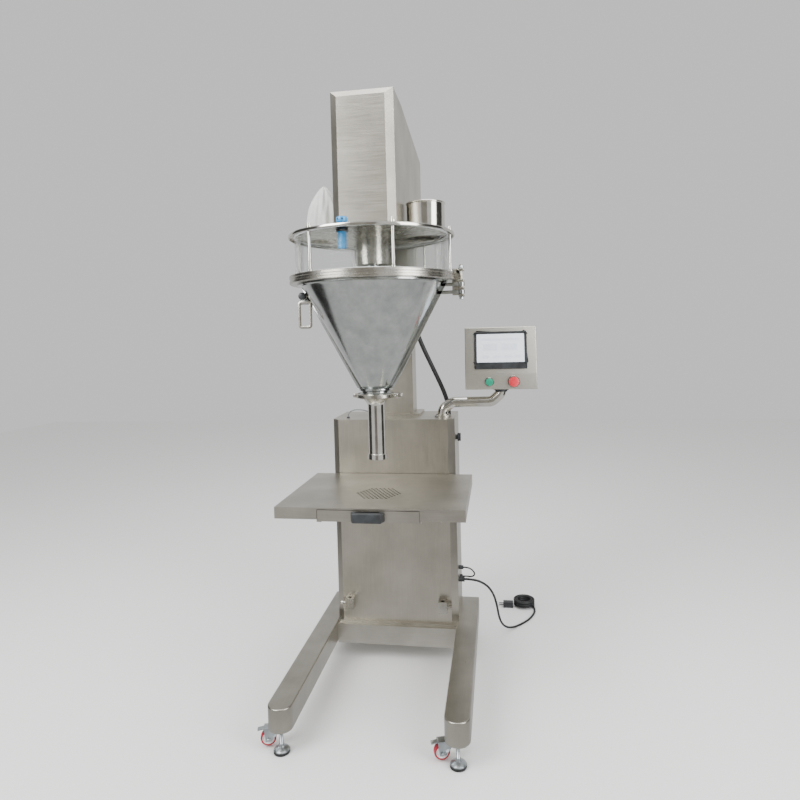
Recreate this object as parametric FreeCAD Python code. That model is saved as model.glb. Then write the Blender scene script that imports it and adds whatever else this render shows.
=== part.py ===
import FreeCAD
import Part
import math
import os

# Auger powder filler on a wheeled stand.  Millimetres, +Z up, floor at Z = 0.
# Construction frame: X = 0 is the machine's centre plane, Y = 0 is the front
# face of the front crossbar, -Y is the operator's side.  Everything is moved
# at the end so that the origin is the centre of the footprint.

V = FreeCAD.Vector
UP = V(0, 0, 1)
RIGHT = V(1, 0, 0)
BACK = V(0, 1, 0)

# ---- driving dimensions --------------------------------------------------
SHEET = 2.0                     # folded stainless sheet
RUN_GAP = 0.4                   # air between pieces that move past each other

# stand
LEG_SPAN = 636.0                # across the outsides of the legs
LEG_W = 80.0
LEG_H = 78.0
LEG_BOTTOM = 80.0
LEG_FRONT = -595.0
LEG_REAR = 290.0
LEG_WALL = 3.0
LEG_ROUND = 4.0
CROSS_DEPTH = 80.0
CROSS_BOTTOM = 74.0
CROSS_TOP = 150.0

# cabinet
CAB_HALF = 246.0
CAB_CHAMFER = 26.0
CAB_FRONT = 30.0
CAB_REAR = 287.0
CAB_TOP = 968.0
TOP_PLATE = 3.0
DOOR_T = 2.0

# column that carries the head
COL_HALF = 70.0
COL_FRONT = 150.0
COL_REAR = 262.0
COL_WALL = 4.0
FOOT_PLATE = 10.0
HEAD_PLATE = 12.0
HEAD_HALF = 100.0

# hopper
AXIS_Y = -278.0
SPOUT_END = 877.0
SPOUT_R = 30.0
SPOUT_BORE = 28.0
CONE_BOTTOM = 1124.0
CONE_TOP = 1484.0
CONE_R_LOW = 48.0
CONE_R_HIGH = 242.0
RING_TOP = 1512.0
RING_R = 284.0
RING_BORE = 238.0
CYL_R = 263.0
CYL_WALL = 5.0
LID_Z = 1644.0
LID_T = 4.0
LID_R = 279.0
LID_RIM = 10.0
SEAM_W = 18.0                   # width of the flange strips on the split
SEAM_T = 4.0
ROD_CIRCLE = 271.0
ROD_R = 5.0
ROD_COUNT = 6
ROD_START_DEG = -5.0
HINGE_X = 304.0
HINGE_PIN_R = 5.0

# drive
AUGER_R = 26.6
AUGER_PITCH = 46.0
AUGER_T = 2.4
SHAFT_R = 9.0
DRIVE_SHAFT_R = 12.0
SLEEVE_R = 22.0
SLEEVE_BORE = 13.0
GEAR_MODULE = 3.0
WHEEL_TEETH = 36
PINION_TEETH = 18
GEAR_W = 18.0
GEAR_Z = 1722.0

# motor housing
HOUSE_HALF = 105.0
HOUSE_CHAMFER = 25.0
HOUSE_FRONT = -409.0
HOUSE_REAR = 302.0
HOUSE_TOP = 2106.0
HOUSE_REAR_TOP = 2048.0
HOUSE_FLAT = 190.0              # level part of the roof, front to back
HOUSE_SKIRT = 1560.0            # bottom of the part behind the hopper
HOUSE_SKIRT_FRONT = 40.0

# bag table
TABLE_HALF = 312.0
TABLE_FRONT = -468.0
TABLE_BACK = 26.0
TABLE_TOP = 755.0
TABLE_SKIRT = 38.0
FIELD_R = 76.0                  # perforated field under the spout
HOLE_R = 5.0
HOLE_PITCH = 15.0
HOLE_SIDES = 6
ROD_X = 187.0
ROD_Y = 8.0
TABLE_ROD_R = 7.0
ROD_LOW = 570.0
CLAMP_Z = 690.0
LOW_CLAMP_Z = 212.0

# drawer
DRAWER_HALF = 166.0
DRAWER_BACK = -70.0
DRAWER_LOW = 711.0
DRAWER_HIGH = 748.0

# operator panel
PANEL_X = 431.0
PANEL_HALF = 139.0
PANEL_LOW = 1083.0
PANEL_FOLD = 1145.0
PANEL_HIGH = 1327.0
PANEL_FRONT = 60.0
PANEL_TILT = 30.0               # set-back of the top edge
PANEL_REAR = 150.0
BEZEL_W = 204.0
BEZEL_H = 148.0
ARM_R = 21.0
ARM_Y = 110.0
ARM_FOOT_X = 196.0

# wheels and feet
WHEEL_R = 25.0
WHEEL_W = 20.0
WHEEL_LIFT = 6.0
CASTER_TRAIL = 33.0
CASTER_TURN = 17.0              # resting swivel angle
CASTER_ASIDE = 20.0             # swivel axis from the foot, sideways
CASTER_BEHIND = 32.0            # and lengthways
FOOT_FRONT_Y = -556.0
FOOT_REAR_Y = 256.0
FOOT_R = 26.0

LEG_X = LEG_SPAN / 2 - LEG_W / 2
LEG_TOP = LEG_BOTTOM + LEG_H
PLATE_Z = LID_Z + LID_T
GEAR_DISTANCE = GEAR_MODULE * (WHEEL_TEETH + PINION_TEETH) / 2
PINION_Y = AXIS_Y + GEAR_DISTANCE
CONE_SLOPE = (CONE_R_HIGH - CONE_R_LOW) / (CONE_TOP - CONE_BOTTOM)


# ---- small helpers -------------------------------------------------------
def box(x0, x1, y0, y1, z0, z1):
    return Part.makeBox(x1 - x0, y1 - y0, z1 - z0, V(x0, y0, z0))


def rod(radius, start, end):
    path = end - start
    return Part.makeCylinder(radius, path.Length, start, path)


def drum(radius, x, y, z0, z1):
    return Part.makeCylinder(radius, z1 - z0, V(x, y, z0))


def pipe(outer, inner, x, y, z0, z1):
    return drum(outer, x, y, z0, z1).cut(drum(inner, x, y, z0 - 1, z1 + 1))


def face(points):
    return Part.Face(Part.makePolygon(points + [points[0]]))


def prism(outline, z0, z1):
    return face([V(x, y, z0) for x, y in outline]).extrude(V(0, 0, z1 - z0))


def side_prism(outline, x0, x1):
    return face([V(x0, y, z) for y, z in outline]).extrude(V(x1 - x0, 0, 0))


def turned(outline, x, y):
    """Solid of revolution about a vertical axis from (radius, z) points."""
    section = face([V(x + r, y, z) for r, z in outline])
    return section.revolve(V(x, y, 0), UP, 360)


def joined(shapes):
    return shapes[0].multiFuse(shapes[1:]).removeSplitter()


def polygon(x, y, radius, sides, turn=0.0):
    steps = [turn + 2 * math.pi * i / sides for i in range(sides)]
    return [(x + radius * math.cos(a), y + radius * math.sin(a)) for a in steps]


def on_circle(radius, degrees):
    a = math.radians(degrees)
    return radius * math.cos(a), AXIS_Y + radius * math.sin(a)


def cone_r(z):
    return CONE_R_LOW + CONE_SLOPE * (z - CONE_BOTTOM)


# ---- stand ---------------------------------------------------------------
def leg_outline(inset):
    half = LEG_W / 2 - inset
    nose_y = LEG_FRONT + LEG_W / 2
    left, right = V(-half, nose_y, 0), V(half, nose_y, 0)
    tail = LEG_REAR - inset
    edges = [Part.Arc(left, V(0, nose_y - half, 0), right).toShape()]
    corners = [right, V(half, tail, 0), V(-half, tail, 0), left]
    edges += [Part.makeLine(a, b) for a, b in zip(corners, corners[1:])]
    return Part.Face(Part.Wire(edges))


def leg(side):
    """Rectangular tube on edge with a half-round nose, capped at the back."""
    outer = leg_outline(0).extrude(V(0, 0, LEG_H))
    rims = [e for e in outer.Edges if abs(e.BoundBox.ZLength) < 1]
    outer = outer.makeFillet(LEG_ROUND, rims)
    inner = leg_outline(LEG_WALL).extrude(V(0, 0, LEG_H - 2 * LEG_WALL))
    inner.translate(V(0, 0, LEG_WALL))
    tube = outer.cut(inner)
    tube.translate(V(side * LEG_X, 0, LEG_BOTTOM))
    return tube


def crossbars():
    """Two cross tubes between the legs under one base plate."""
    half = LEG_SPAN / 2 - LEG_W
    pieces = []
    for y in (0.0, LEG_REAR - CROSS_DEPTH - 8.0):
        bar = box(-half, half, y, y + CROSS_DEPTH, CROSS_BOTTOM, CROSS_TOP)
        hollow = box(-half, half, y + LEG_WALL, y + CROSS_DEPTH - LEG_WALL,
                     CROSS_BOTTOM + LEG_WALL, CROSS_TOP - LEG_WALL)
        pieces.append(bar.cut(hollow))
    pieces.append(box(-half, half, CAB_FRONT - 12, CAB_REAR, CROSS_TOP, LEG_TOP))
    return joined(pieces)


# ---- cabinet -------------------------------------------------------------
def cabinet_outline(inset, rear):
    w = CAB_HALF - inset
    flat = CAB_HALF - CAB_CHAMFER - inset * math.tan(math.radians(22.5))
    front = CAB_FRONT + inset
    corner = CAB_FRONT + CAB_CHAMFER + inset * math.tan(math.radians(22.5))
    return [(-flat, front), (flat, front), (w, corner), (w, rear),
            (-w, rear), (-w, corner)]


def cabinet_shell():
    """Folded front and sides, open at the back, with return flanges."""
    body = prism(cabinet_outline(0, CAB_REAR), LEG_TOP, CAB_TOP)
    body = body.cut(prism(cabinet_outline(SHEET, CAB_REAR + 1), LEG_TOP - 1, CAB_TOP + 1))
    lip = 18.0
    flanges = []
    for side in (-1, 1):
        x0, x1 = sorted((side * (CAB_HALF - lip), side * (CAB_HALF - SHEET / 2)))
        flanges.append(box(x0, x1, CAB_REAR - SHEET, CAB_REAR, LEG_TOP, CAB_TOP))
    return joined([body] + flanges)


def cabinet_top():
    """Cover plate with the welded socket that the panel arm turns in."""
    plate = prism(cabinet_outline(0, CAB_REAR), CAB_TOP, CAB_TOP + TOP_PLATE)
    z = CAB_TOP + TOP_PLATE
    socket = drum(ARM_R + 13, ARM_FOOT_X, ARM_Y, z, z + 6)
    cup = pipe(ARM_R + 6, ARM_R + RUN_GAP, ARM_FOOT_X, ARM_Y, z + 6, z + 12)
    return joined([plate, socket, cup])


def rear_door():
    """Flat door with a folded rim, hung on the left, with two knuckles."""
    half = CAB_HALF - 3
    low, high = LEG_TOP + 6, CAB_TOP - 6
    y = CAB_REAR + RUN_GAP
    panel = box(-half, half, y, y + DOOR_T, low, high)
    rim = 10.0
    ribs = [box(-half + 30, half - 30, y + DOOR_T, y + DOOR_T + rim, z, z + SHEET)
            for z in (low + 30, high - 32)]
    knuckles = [pipe(6, 3, -half - 1, y + 6, z, z + 40) for z in (low + 60, high - 100)]
    return joined([panel] + ribs + knuckles)


def side_latch():
    """Black two-lobed turn knob low on a round seat, on the right-hand side."""
    z, y = LATCH_Z, LATCH_Y
    seat = rod(10, V(CAB_HALF + RUN_GAP, y, z), V(CAB_HALF + 7, y, z))
    lobes = [rod(11, V(CAB_HALF + 6, y, z + s * 8), V(CAB_HALF + 20, y, z + s * 8))
             for s in (-1, 1)]
    return joined([seat] + lobes)


LATCH_Z = 888.0
LATCH_Y = 110.0


# ---- column and head -----------------------------------------------------
def column():
    """Box column with a foot flange and the plate that carries the head."""
    foot_z = CAB_TOP + TOP_PLATE
    low = foot_z + FOOT_PLATE
    foot = box(-COL_HALF - 30, COL_HALF + 30, COL_FRONT - 22, CAB_REAR - 3, foot_z, low)
    shaft = box(-COL_HALF, COL_HALF, COL_FRONT, COL_REAR, low, PLATE_Z)
    shaft = shaft.cut(box(-COL_HALF + COL_WALL, COL_HALF - COL_WALL, COL_FRONT + COL_WALL,
                          COL_REAR - COL_WALL, low, PLATE_Z))
    head = box(-HEAD_HALF, HEAD_HALF, HOUSE_FRONT + 30, COL_REAR, PLATE_Z, PLATE_Z + HEAD_PLATE)
    head = head.cut(drum(40, 0, AXIS_Y, PLATE_Z - 1, PLATE_Z + HEAD_PLATE + 1))
    return joined([foot, shaft, head])


def house_section(inset):
    flat_end = HOUSE_FRONT + HOUSE_FLAT
    return [(HOUSE_FRONT + inset, PLATE_Z), (HOUSE_FRONT + inset, HOUSE_TOP - inset),
            (flat_end, HOUSE_TOP - inset), (HOUSE_REAR - inset, HOUSE_REAR_TOP - inset),
            (HOUSE_REAR - inset, HOUSE_SKIRT + inset), (HOUSE_SKIRT_FRONT + inset, HOUSE_SKIRT + inset),
            (HOUSE_SKIRT_FRONT + inset, PLATE_Z)]


def house_solid(inset):
    half = HOUSE_HALF - inset
    body = side_prism(house_section(inset), -half, half)
    size = HOUSE_CHAMFER - inset * (2 - math.sqrt(2))
    front = HOUSE_FRONT + inset
    top = HOUSE_TOP - inset
    for side in (-1, 1):
        edge = side * half
        cut = prism([(edge, front), (edge - side * size, front), (edge, front + size)],
                    HOUSE_SKIRT - 5, HOUSE_TOP + 5)
        body = body.cut(cut)
    ramp = side_prism([(front, top), (front, top - size), (front + size, top)], -half - 5, half + 5)
    return body.cut(ramp)


def motor_housing():
    """Folded sheet hood: chamfered front, falling roof, skirt behind the hopper."""
    hood = house_solid(0).cut(house_solid(SHEET))
    open_front = box(-HOUSE_HALF + SHEET, HOUSE_HALF - SHEET, HOUSE_FRONT + SHEET + 20,
                     HOUSE_SKIRT_FRONT + SHEET, PLATE_Z - 5, PLATE_Z + 5)
    hole = box(-COL_HALF - 4, COL_HALF + 4, COL_FRONT - 4, COL_REAR + 4,
               HOUSE_SKIRT - 5, HOUSE_SKIRT + 5)
    hose = drum(HOSE_R + 4, HOSE_ROUTE[0][0], HOSE_ROUTE[0][1], HOUSE_SKIRT - 5, HOUSE_SKIRT + 5)
    return hood.cut(open_front).cut(hole).cut(hose)


# ---- drive ---------------------------------------------------------------
def bearing_housing():
    """Flanged bearing tube: stands on the head plate and reaches below the lid."""
    top = PLATE_Z + HEAD_PLATE
    flange = pipe(62, SLEEVE_R + 0.05, 0, AXIS_Y, top, top + 14)
    neck = pipe(38, SLEEVE_R + 0.05, 0, AXIS_Y, LID_Z - 6, top + 44)
    boss = pipe(56, SLEEVE_R + 0.05, 0, AXIS_Y, TUBE_LOW, LID_Z)
    return joined([flange, neck, boss])


TUBE_LOW = 1548.0


def servo_motor():
    """Square servo motor on a bell that bolts to the head plate."""
    z = MOTOR_Z
    legs = [drum(7, sx * 76, AXIS_Y + sy * 62, PLATE_Z + HEAD_PLATE, z)
            for sx in (-1, 1) for sy in (-1, 1)]
    plate = box(-86, 86, AXIS_Y - 74, AXIS_Y + 74, z, z + 10)
    body = box(-55, 55, AXIS_Y - 55, AXIS_Y + 55, z + 10, z + 150)
    cap = box(-50, 50, AXIS_Y - 50, AXIS_Y + 50, z + 150, z + 186)
    plug = box(-20, 20, AXIS_Y + 55, AXIS_Y + 84, z + 110, z + 140)
    shaft = drum(9, 0, AXIS_Y, z - 30, z)
    return joined([plate, body, cap, plug, shaft] + legs)


MOTOR_Z = 1862.0


def agitator_motor():
    """Gear motor that drives the pinion from behind the auger."""
    x, y = 0.0, PINION_Y
    low = PLATE_Z + HEAD_PLATE
    base = box(-45, 45, y - 18, y + 64, low, low + 34)
    base = base.cut(drum(16, x, y, low - 1, low + 35))
    stem = pipe(20, 9.06, x, y, low + 34, GEAR_Z - 1)
    base = base.cut(drum(9.06, x, y, low, GEAR_Z))
    body = box(-45, 45, y + 64, y + 150, low, low + 80)
    motor = drum(46, x, y + 107, low + 80, low + 250)
    return joined([base, stem, body, motor])


def gear(teeth, x, y, z, bore, turn):
    """Spur gear with straight-sided teeth of the right depth and pitch."""
    pitch_r = GEAR_MODULE * teeth / 2
    tip_r = pitch_r + GEAR_MODULE
    root_r = pitch_r - 1.25 * GEAR_MODULE
    step = 2 * math.pi / teeth
    outline = []
    for i in range(teeth):
        middle = turn + i * step
        for r, part in ((root_r, -0.34), (tip_r, -0.12), (tip_r, 0.12), (root_r, 0.34)):
            a = middle + part * step
            outline.append((x + r * math.cos(a), y + r * math.sin(a)))
    return prism(outline, z, z + GEAR_W).cut(drum(bore, x, y, z - 1, z + GEAR_W + 1))


def driven_gear():
    return gear(WHEEL_TEETH, 0, AXIS_Y, GEAR_Z, SLEEVE_R, math.pi / 2)


def drive_gear():
    """Pinion on its own stub shaft in the gear motor's bearing."""
    half_tooth = math.pi / PINION_TEETH
    wheel = gear(PINION_TEETH, 0, PINION_Y, GEAR_Z, 5, -math.pi / 2 + half_tooth)
    shaft = drum(9, 0, PINION_Y, PLATE_Z + HEAD_PLATE + 4, GEAR_Z + GEAR_W + 6)
    return joined([wheel, shaft])


def shaft_coupling():
    """Two-jaw coupling between the servo motor and the auger shaft."""
    low = MOTOR_Z - 92
    hubs = joined([pipe(24, DRIVE_SHAFT_R, 0, AXIS_Y, low, low + 40),
                   pipe(24, 9.06, 0, AXIS_Y, low + 46, low + 86),
                   pipe(20, 13, 0, AXIS_Y, low + 38, low + 48)])
    return hubs


def auger_screw():
    """Filling screw: one helical flight in the spout, plain shaft above."""
    low = SPOUT_END + 6
    turns_h = AUGER_PITCH * AUGER_TURNS
    core = drum(SHAFT_R, 0, AXIS_Y, low, low + turns_h + 20)
    shaft = drum(DRIVE_SHAFT_R, 0, AXIS_Y, low + turns_h + 10, MOTOR_Z - 56)
    helix = Part.makeHelix(AUGER_PITCH, turns_h, SHAFT_R)
    mid = SHAFT_R - 2
    points = [V(mid, 0, -AUGER_T / 2), V(AUGER_R, 0, -AUGER_T / 2),
              V(AUGER_R, 0, AUGER_T / 2), V(mid, 0, AUGER_T / 2)]
    profile = Part.makePolygon(points + [points[0]])
    flight = Part.Wire(helix).makePipeShell([profile], True, True)
    flight.translate(V(0, AXIS_Y, low + AUGER_T))
    return joined([core, flight, shaft])


AUGER_TURNS = 6


def agitator_frame():
    """Hollow shaft with a cross arm and two blades that follow the cone."""
    sleeve = pipe(SLEEVE_R, SLEEVE_BORE, 0, AXIS_Y, TUBE_LOW - 60, GEAR_Z + GEAR_W + 10)
    hub = pipe(34, SLEEVE_BORE, 0, AXIS_Y, TUBE_LOW - 62, TUBE_LOW - 8)
    reach = 34.0
    bar_w, bar_t = 24.0, 6.0
    arm_low, arm_high = TUBE_LOW - 50, TUBE_LOW - 50 + bar_w
    top_z, low_z = CONE_TOP - 8, 1190.0
    pieces = [sleeve, hub]
    for side in (-1, 1):
        x0, x1 = sorted((side * 25, side * (cone_r(top_z) - reach)))
        pieces.append(box(x0, x1, AXIS_Y - bar_t / 2, AXIS_Y + bar_t / 2, arm_low, arm_high))
        outer_top = side * (cone_r(top_z) - reach)
        outer_low = side * (cone_r(low_z) - reach + 6)
        blade = face([V(outer_top, 0, arm_high), V(outer_low, 0, low_z),
                      V(outer_low - side * bar_w, 0, low_z), V(outer_top - side * bar_w, 0, arm_high)])
        blade = blade.extrude(V(0, bar_t, 0))
        blade.translate(V(0, AXIS_Y - bar_t / 2, 0))
        pieces.append(blade)
    return joined(pieces)


# ---- hopper --------------------------------------------------------------
def half_space(front):
    gap = RUN_GAP / 2
    y0, y1 = (AXIS_Y - 400, AXIS_Y - gap) if front else (AXIS_Y + gap, AXIS_Y + 400)
    return box(-400, 400, y0, y1, 1000, 1600)


def cone_shell(low_z):
    """Thin conical wall with a narrow turned-out lip under the ring."""
    r_low, r_high = cone_r(low_z), CONE_R_HIGH
    top = CONE_TOP
    return turned([(r_low - SHEET, low_z), (r_low, low_z), (r_high, top - 4), (r_high + 16, top - 4),
                   (r_high + 16, top - RUN_GAP), (r_high - SHEET, top - RUN_GAP)], 0, AXIS_Y)


def seam_flanges(low_z, front):
    """Flat strips down both sides of the split, one half of each pair."""
    y0, y1 = (AXIS_Y - SEAM_T, AXIS_Y - RUN_GAP / 2) if front else (AXIS_Y + RUN_GAP / 2, AXIS_Y + SEAM_T)
    strips = []
    top = CONE_TOP - 4
    for side in (-1, 1):
        a, b = cone_r(low_z) - SHEET, cone_r(top) - SHEET
        outline = [V(side * a, y0, low_z), V(side * (a + SEAM_W), y0, low_z),
                   V(side * (b + SEAM_W), y0, top), V(side * b, y0, top)]
        strips.append(face(outline).extrude(V(0, y1 - y0, 0)))
    return strips


def split_wall(low_z, front):
    return joined([cone_shell(low_z).common(half_space(front))] + seam_flanges(low_z, front))


def hopper_rear_half():
    """Fixed rear half with the neck ring and the spout's upper ferrule."""
    wall = split_wall(CONE_BOTTOM, False)
    r = CONE_R_LOW
    neck = turned([(r - SHEET, FERRULE_Z), (r + 14, FERRULE_Z), (r + 14, FERRULE_Z + 4),
                   (r + 2, FERRULE_Z + 8), (r + 2, CONE_BOTTOM - 8), (r + 10, CONE_BOTTOM - 6),
                   (r + 10, CONE_BOTTOM + 0.5), (r - SHEET, CONE_BOTTOM + 0.5)], 0, AXIS_Y)
    lip = turned([(CONE_R_HIGH - SHEET, CONE_TOP - 4), (CONE_R_HIGH + 16, CONE_TOP - 4),
                  (CONE_R_HIGH + 16, CONE_TOP), (CONE_R_HIGH - SHEET, CONE_TOP)], 0, AXIS_Y)
    lip = lip.common(box(-400, 400, AXIS_Y + 1, AXIS_Y + 400, 1000, 1600))
    return joined([wall, neck, lip])


FERRULE_Z = 1100.0
FRONT_LOW = CONE_BOTTOM + 1.2


def hopper_front_half():
    """Swinging front half with the hinge leaf and two knuckles."""
    y0, y1 = AXIS_Y - SEAM_T, AXIS_Y - RUN_GAP / 2
    pieces = [split_wall(FRONT_LOW, True), box(-260, -222, y0, y1, 1422, 1462)]
    for z0 in HINGE_KNUCKLES:
        x0 = cone_r(z0) - SHEET + 4
        pieces.append(box(x0, HINGE_X - 4, y0, y1, z0, z0 + KNUCKLE_H))
        pieces.append(drum(11, HINGE_X, AXIS_Y, z0, z0 + KNUCKLE_H))
    body = joined(pieces)
    for z0 in HINGE_KNUCKLES:
        body = body.cut(drum(HINGE_PIN_R + 0.05, HINGE_X, AXIS_Y, z0 - 1, z0 + KNUCKLE_H + 1))
    return body


HINGE_KNUCKLES = (1440.0, 1466.0)
KNUCKLE_H = 12.0
EAR_T = 9.0


def hopper_ring():
    """Stiff ring that carries the cone, with the hinge bracket and its pin."""
    ring = turned([(RING_BORE, CONE_TOP), (RING_R, CONE_TOP), (RING_R, RING_TOP),
                   (CYL_R + 1, RING_TOP), (CYL_R + 1, RING_TOP - 10), (CYL_R - CYL_WALL - 6, RING_TOP - 10),
                   (RING_BORE, CONE_TOP + 5)], 0, AXIS_Y)
    plate_y = AXIS_Y + 12
    bracket = box(RING_R - 12, HINGE_X + 6, plate_y, plate_y + 8, 1436, 1526)
    pin = drum(HINGE_PIN_R, HINGE_X, AXIS_Y, 1426, 1534)
    ears = [box(HINGE_X - 10, HINGE_X + 10, AXIS_Y - 10, plate_y + 5, z, z + EAR_T)
            for z in (1430.0, 1453.5, 1479.5, 1516.0)]
    return joined([ring, bracket, pin] + ears)


def clear_cylinder():
    return pipe(CYL_R, CYL_R - CYL_WALL, 0, AXIS_Y, RING_TOP - 10, LID_Z)


def hopper_lid():
    """Sheet lid with a rolled rim, the bag collar and the openings."""
    z = LID_Z
    lid = turned([(0, z), (LID_R, z), (LID_R, z - LID_RIM + LID_T), (LID_R + 3, z - LID_RIM + LID_T),
                  (LID_R + 3, z + LID_T), (0, z + LID_T)], 0, AXIS_Y)
    collar = drum(BAG_R - 6, BAG_X, BAG_Y, z, z + LID_T + 22)
    lid = joined([lid, collar])
    for r, x, y in ((38.0, 0, AXIS_Y), (PORT_R - 3, PORT_X, PORT_Y),
                    (BAG_R - 9, BAG_X, BAG_Y), (SENSOR_R, SENSOR_X, SENSOR_Y)):
        lid = lid.cut(drum(r, x, y, z - 20, z + 60))
    return lid


PORT_X, PORT_Y, PORT_R, PORT_H = 180.0, -200.0, 67.0, 118.0
BAG_X, BAG_Y, BAG_R, BAG_H = -178.0, -238.0, 64.0, 190.0
SENSOR_X, SENSOR_Y, SENSOR_R = -56.0, -470.0, 15.0


def inlet_port():
    z = LID_Z + LID_T
    wall = pipe(PORT_R, PORT_R - 3, PORT_X, PORT_Y, z, z + PORT_H)
    bead = pipe(PORT_R + 3, PORT_R - 3, PORT_X, PORT_Y, z + PORT_H - 5, z + PORT_H)
    return joined([wall, bead])


def breather_bag():
    """Closed dome of filter cloth over its collar on the lid."""
    z = LID_Z + LID_T
    seat = BAG_R - 6 + RUN_GAP
    levels = [(seat, z), (BAG_R, z), (BAG_R, z + 30), (BAG_R * 0.97, z + BAG_H * 0.45),
              (BAG_R * 0.80, z + BAG_H * 0.68), (BAG_R * 0.50, z + BAG_H * 0.88),
              (BAG_R * 0.16, z + BAG_H), (0, z + BAG_H), (0, z + BAG_H - 8),
              (BAG_R * 0.42, z + BAG_H * 0.84), (seat - 3, z + 23), (seat, z + 23)]
    return turned(levels, BAG_X, BAG_Y)


def level_sensor():
    z = LID_Z
    body = drum(SENSOR_R - 0.5, SENSOR_X, SENSOR_Y, z - 66, z + LID_T + 18)
    cap = drum(SENSOR_R + 3, SENSOR_X, SENSOR_Y, z + LID_T + 18, z + LID_T + 34)
    nut = prism(polygon(SENSOR_X, SENSOR_Y, SENSOR_R + 6, 6), z + LID_T, z + LID_T + 8)
    return joined([body, cap, nut])


def tie_rods():
    """Six tie rods from ring to lid, each ending in a hook over the lid."""
    rods = []
    for i in range(ROD_COUNT):
        x, y = on_circle(ROD_CIRCLE, ROD_START_DEG + i * 360.0 / ROD_COUNT)
        stem = drum(ROD_R, x, y, RING_TOP, LID_Z)
        foot = drum(ROD_R + 2.5, x, y, RING_TOP, RING_TOP + 8)
        nut = drum(ROD_R + 3, x, y, LID_Z + LID_T, LID_Z + LID_T + 7)
        tip = drum(ROD_R, x, y, LID_Z + LID_T, LID_Z + LID_T + 16)
        rods.append(joined([stem, foot]))
        rods.append(joined([nut, tip]))
    return Part.makeCompound(rods)


def latch_bolt():
    """Swing bolt with a black knob that holds the two halves together."""
    x, z = LATCH_X, 1449.0
    bolt = rod(4, V(x, AXIS_Y - SEAM_T - 2, z), V(x, AXIS_Y - 34, z))
    knob = rod(13, V(x, AXIS_Y - SEAM_T - 16, z), V(x, AXIS_Y - SEAM_T - 34, z))
    washer = rod(8, V(x, AXIS_Y - SEAM_T - RUN_GAP, z), V(x, AXIS_Y - SEAM_T - 16, z))
    return joined([bolt, knob, washer])


LATCH_X = -246.0


def pull_handle():
    """Flat rectangular loop on the left-hand seam of the front half."""
    x0, x1 = -269.0, -219.0
    z0, z1 = 1336.0, 1434.0
    y1 = AXIS_Y - SEAM_T
    y0 = y1 - 6
    outer = box(x0, x1, y0, y1, z0, z1)
    loop = outer.cut(box(x0 + 10, x1 - 10, y0 - 1, y1 + 1, z0 + 10, z1 - 14))
    return loop


def spout_tube():
    """Filling tube with its ferrule, a short taper and an end bead."""
    top = FERRULE_Z - 1
    r_top = CONE_R_LOW + 14
    outer = [(SPOUT_BORE, SPOUT_END), (SPOUT_R + 3, SPOUT_END), (SPOUT_R + 3, SPOUT_END + 20),
             (SPOUT_R, SPOUT_END + 20), (SPOUT_R, top - 30), (CONE_R_LOW - 4, top - 10),
             (CONE_R_LOW, top - 8), (r_top, top - 4), (r_top, top), (CONE_R_LOW - SHEET, top),
             (CONE_R_LOW - SHEET - 4, top - 8), (SPOUT_BORE, top - 28)]
    return turned(outer, 0, AXIS_Y)


def spout_clamp():
    """Two-piece clamp ring over both ferrules, with a hinge lug and bolt lugs."""
    r_in, r_out = CONE_R_LOW + 14, CLAMP_R
    z0, z1 = FERRULE_Z - 9, FERRULE_Z + 7
    ring = turned([(r_in, z0), (r_out, z0), (r_out, z1), (r_in, z1)], 0, AXIS_Y)
    lug = box(-r_out - 12, -r_out + 4, AXIS_Y - 8, AXIS_Y + 8, z0 + 1, z1 - 1)
    ears = [box(r_out - 4, r_out + 24, AXIS_Y + s * 9 - 4, AXIS_Y + s * 9 + 4, z0 + 1, z1 - 1)
            for s in (-1, 1)]
    ring = joined([ring, lug] + ears)
    x = WING_X
    bolt = rod(4, V(x, AXIS_Y + 13, FERRULE_Z - 1), V(x, AXIS_Y - 34, FERRULE_Z - 1))
    return joined([ring, bolt])


CLAMP_R = 68.0
WING_X = CLAMP_R + 16.5


def wing_nut():
    x, z = WING_X, FERRULE_Z - 1
    y0 = AXIS_Y - 13 - RUN_GAP
    hub = rod(8, V(x, y0 - 14, z), V(x, y0, z))
    wings = face([V(x - 15, y0 - 22, z), V(x - 11, y0 - 2, z), V(x + 11, y0 - 2, z),
                  V(x + 15, y0 - 22, z), V(x + 7, y0 - 12, z), V(x - 7, y0 - 12, z)])
    wings = wings.extrude(V(0, 0, 4))
    wings.translate(V(0, 0, -2))
    return joined([hub, wings]).cut(rod(4.05, V(x, y0 - 40, z), V(x, y0 + 5, z)))


# ---- table and drawer ----------------------------------------------------
def field_holes():
    """Hexagonal grid of small holes inside a round field."""
    holes = []
    rows = int(FIELD_R / HOLE_PITCH) + 1
    for row in range(-rows, rows + 1):
        y = row * HOLE_PITCH * 0.866
        for col in range(-rows, rows + 1):
            x = (col + 0.5 * (row % 2)) * HOLE_PITCH
            if math.hypot(x, y) <= FIELD_R:
                outline = polygon(x, AXIS_Y + y, HOLE_R, HOLE_SIDES)
                holes.append(prism(outline, TABLE_TOP - 10, TABLE_TOP + 10))
    return holes


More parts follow.
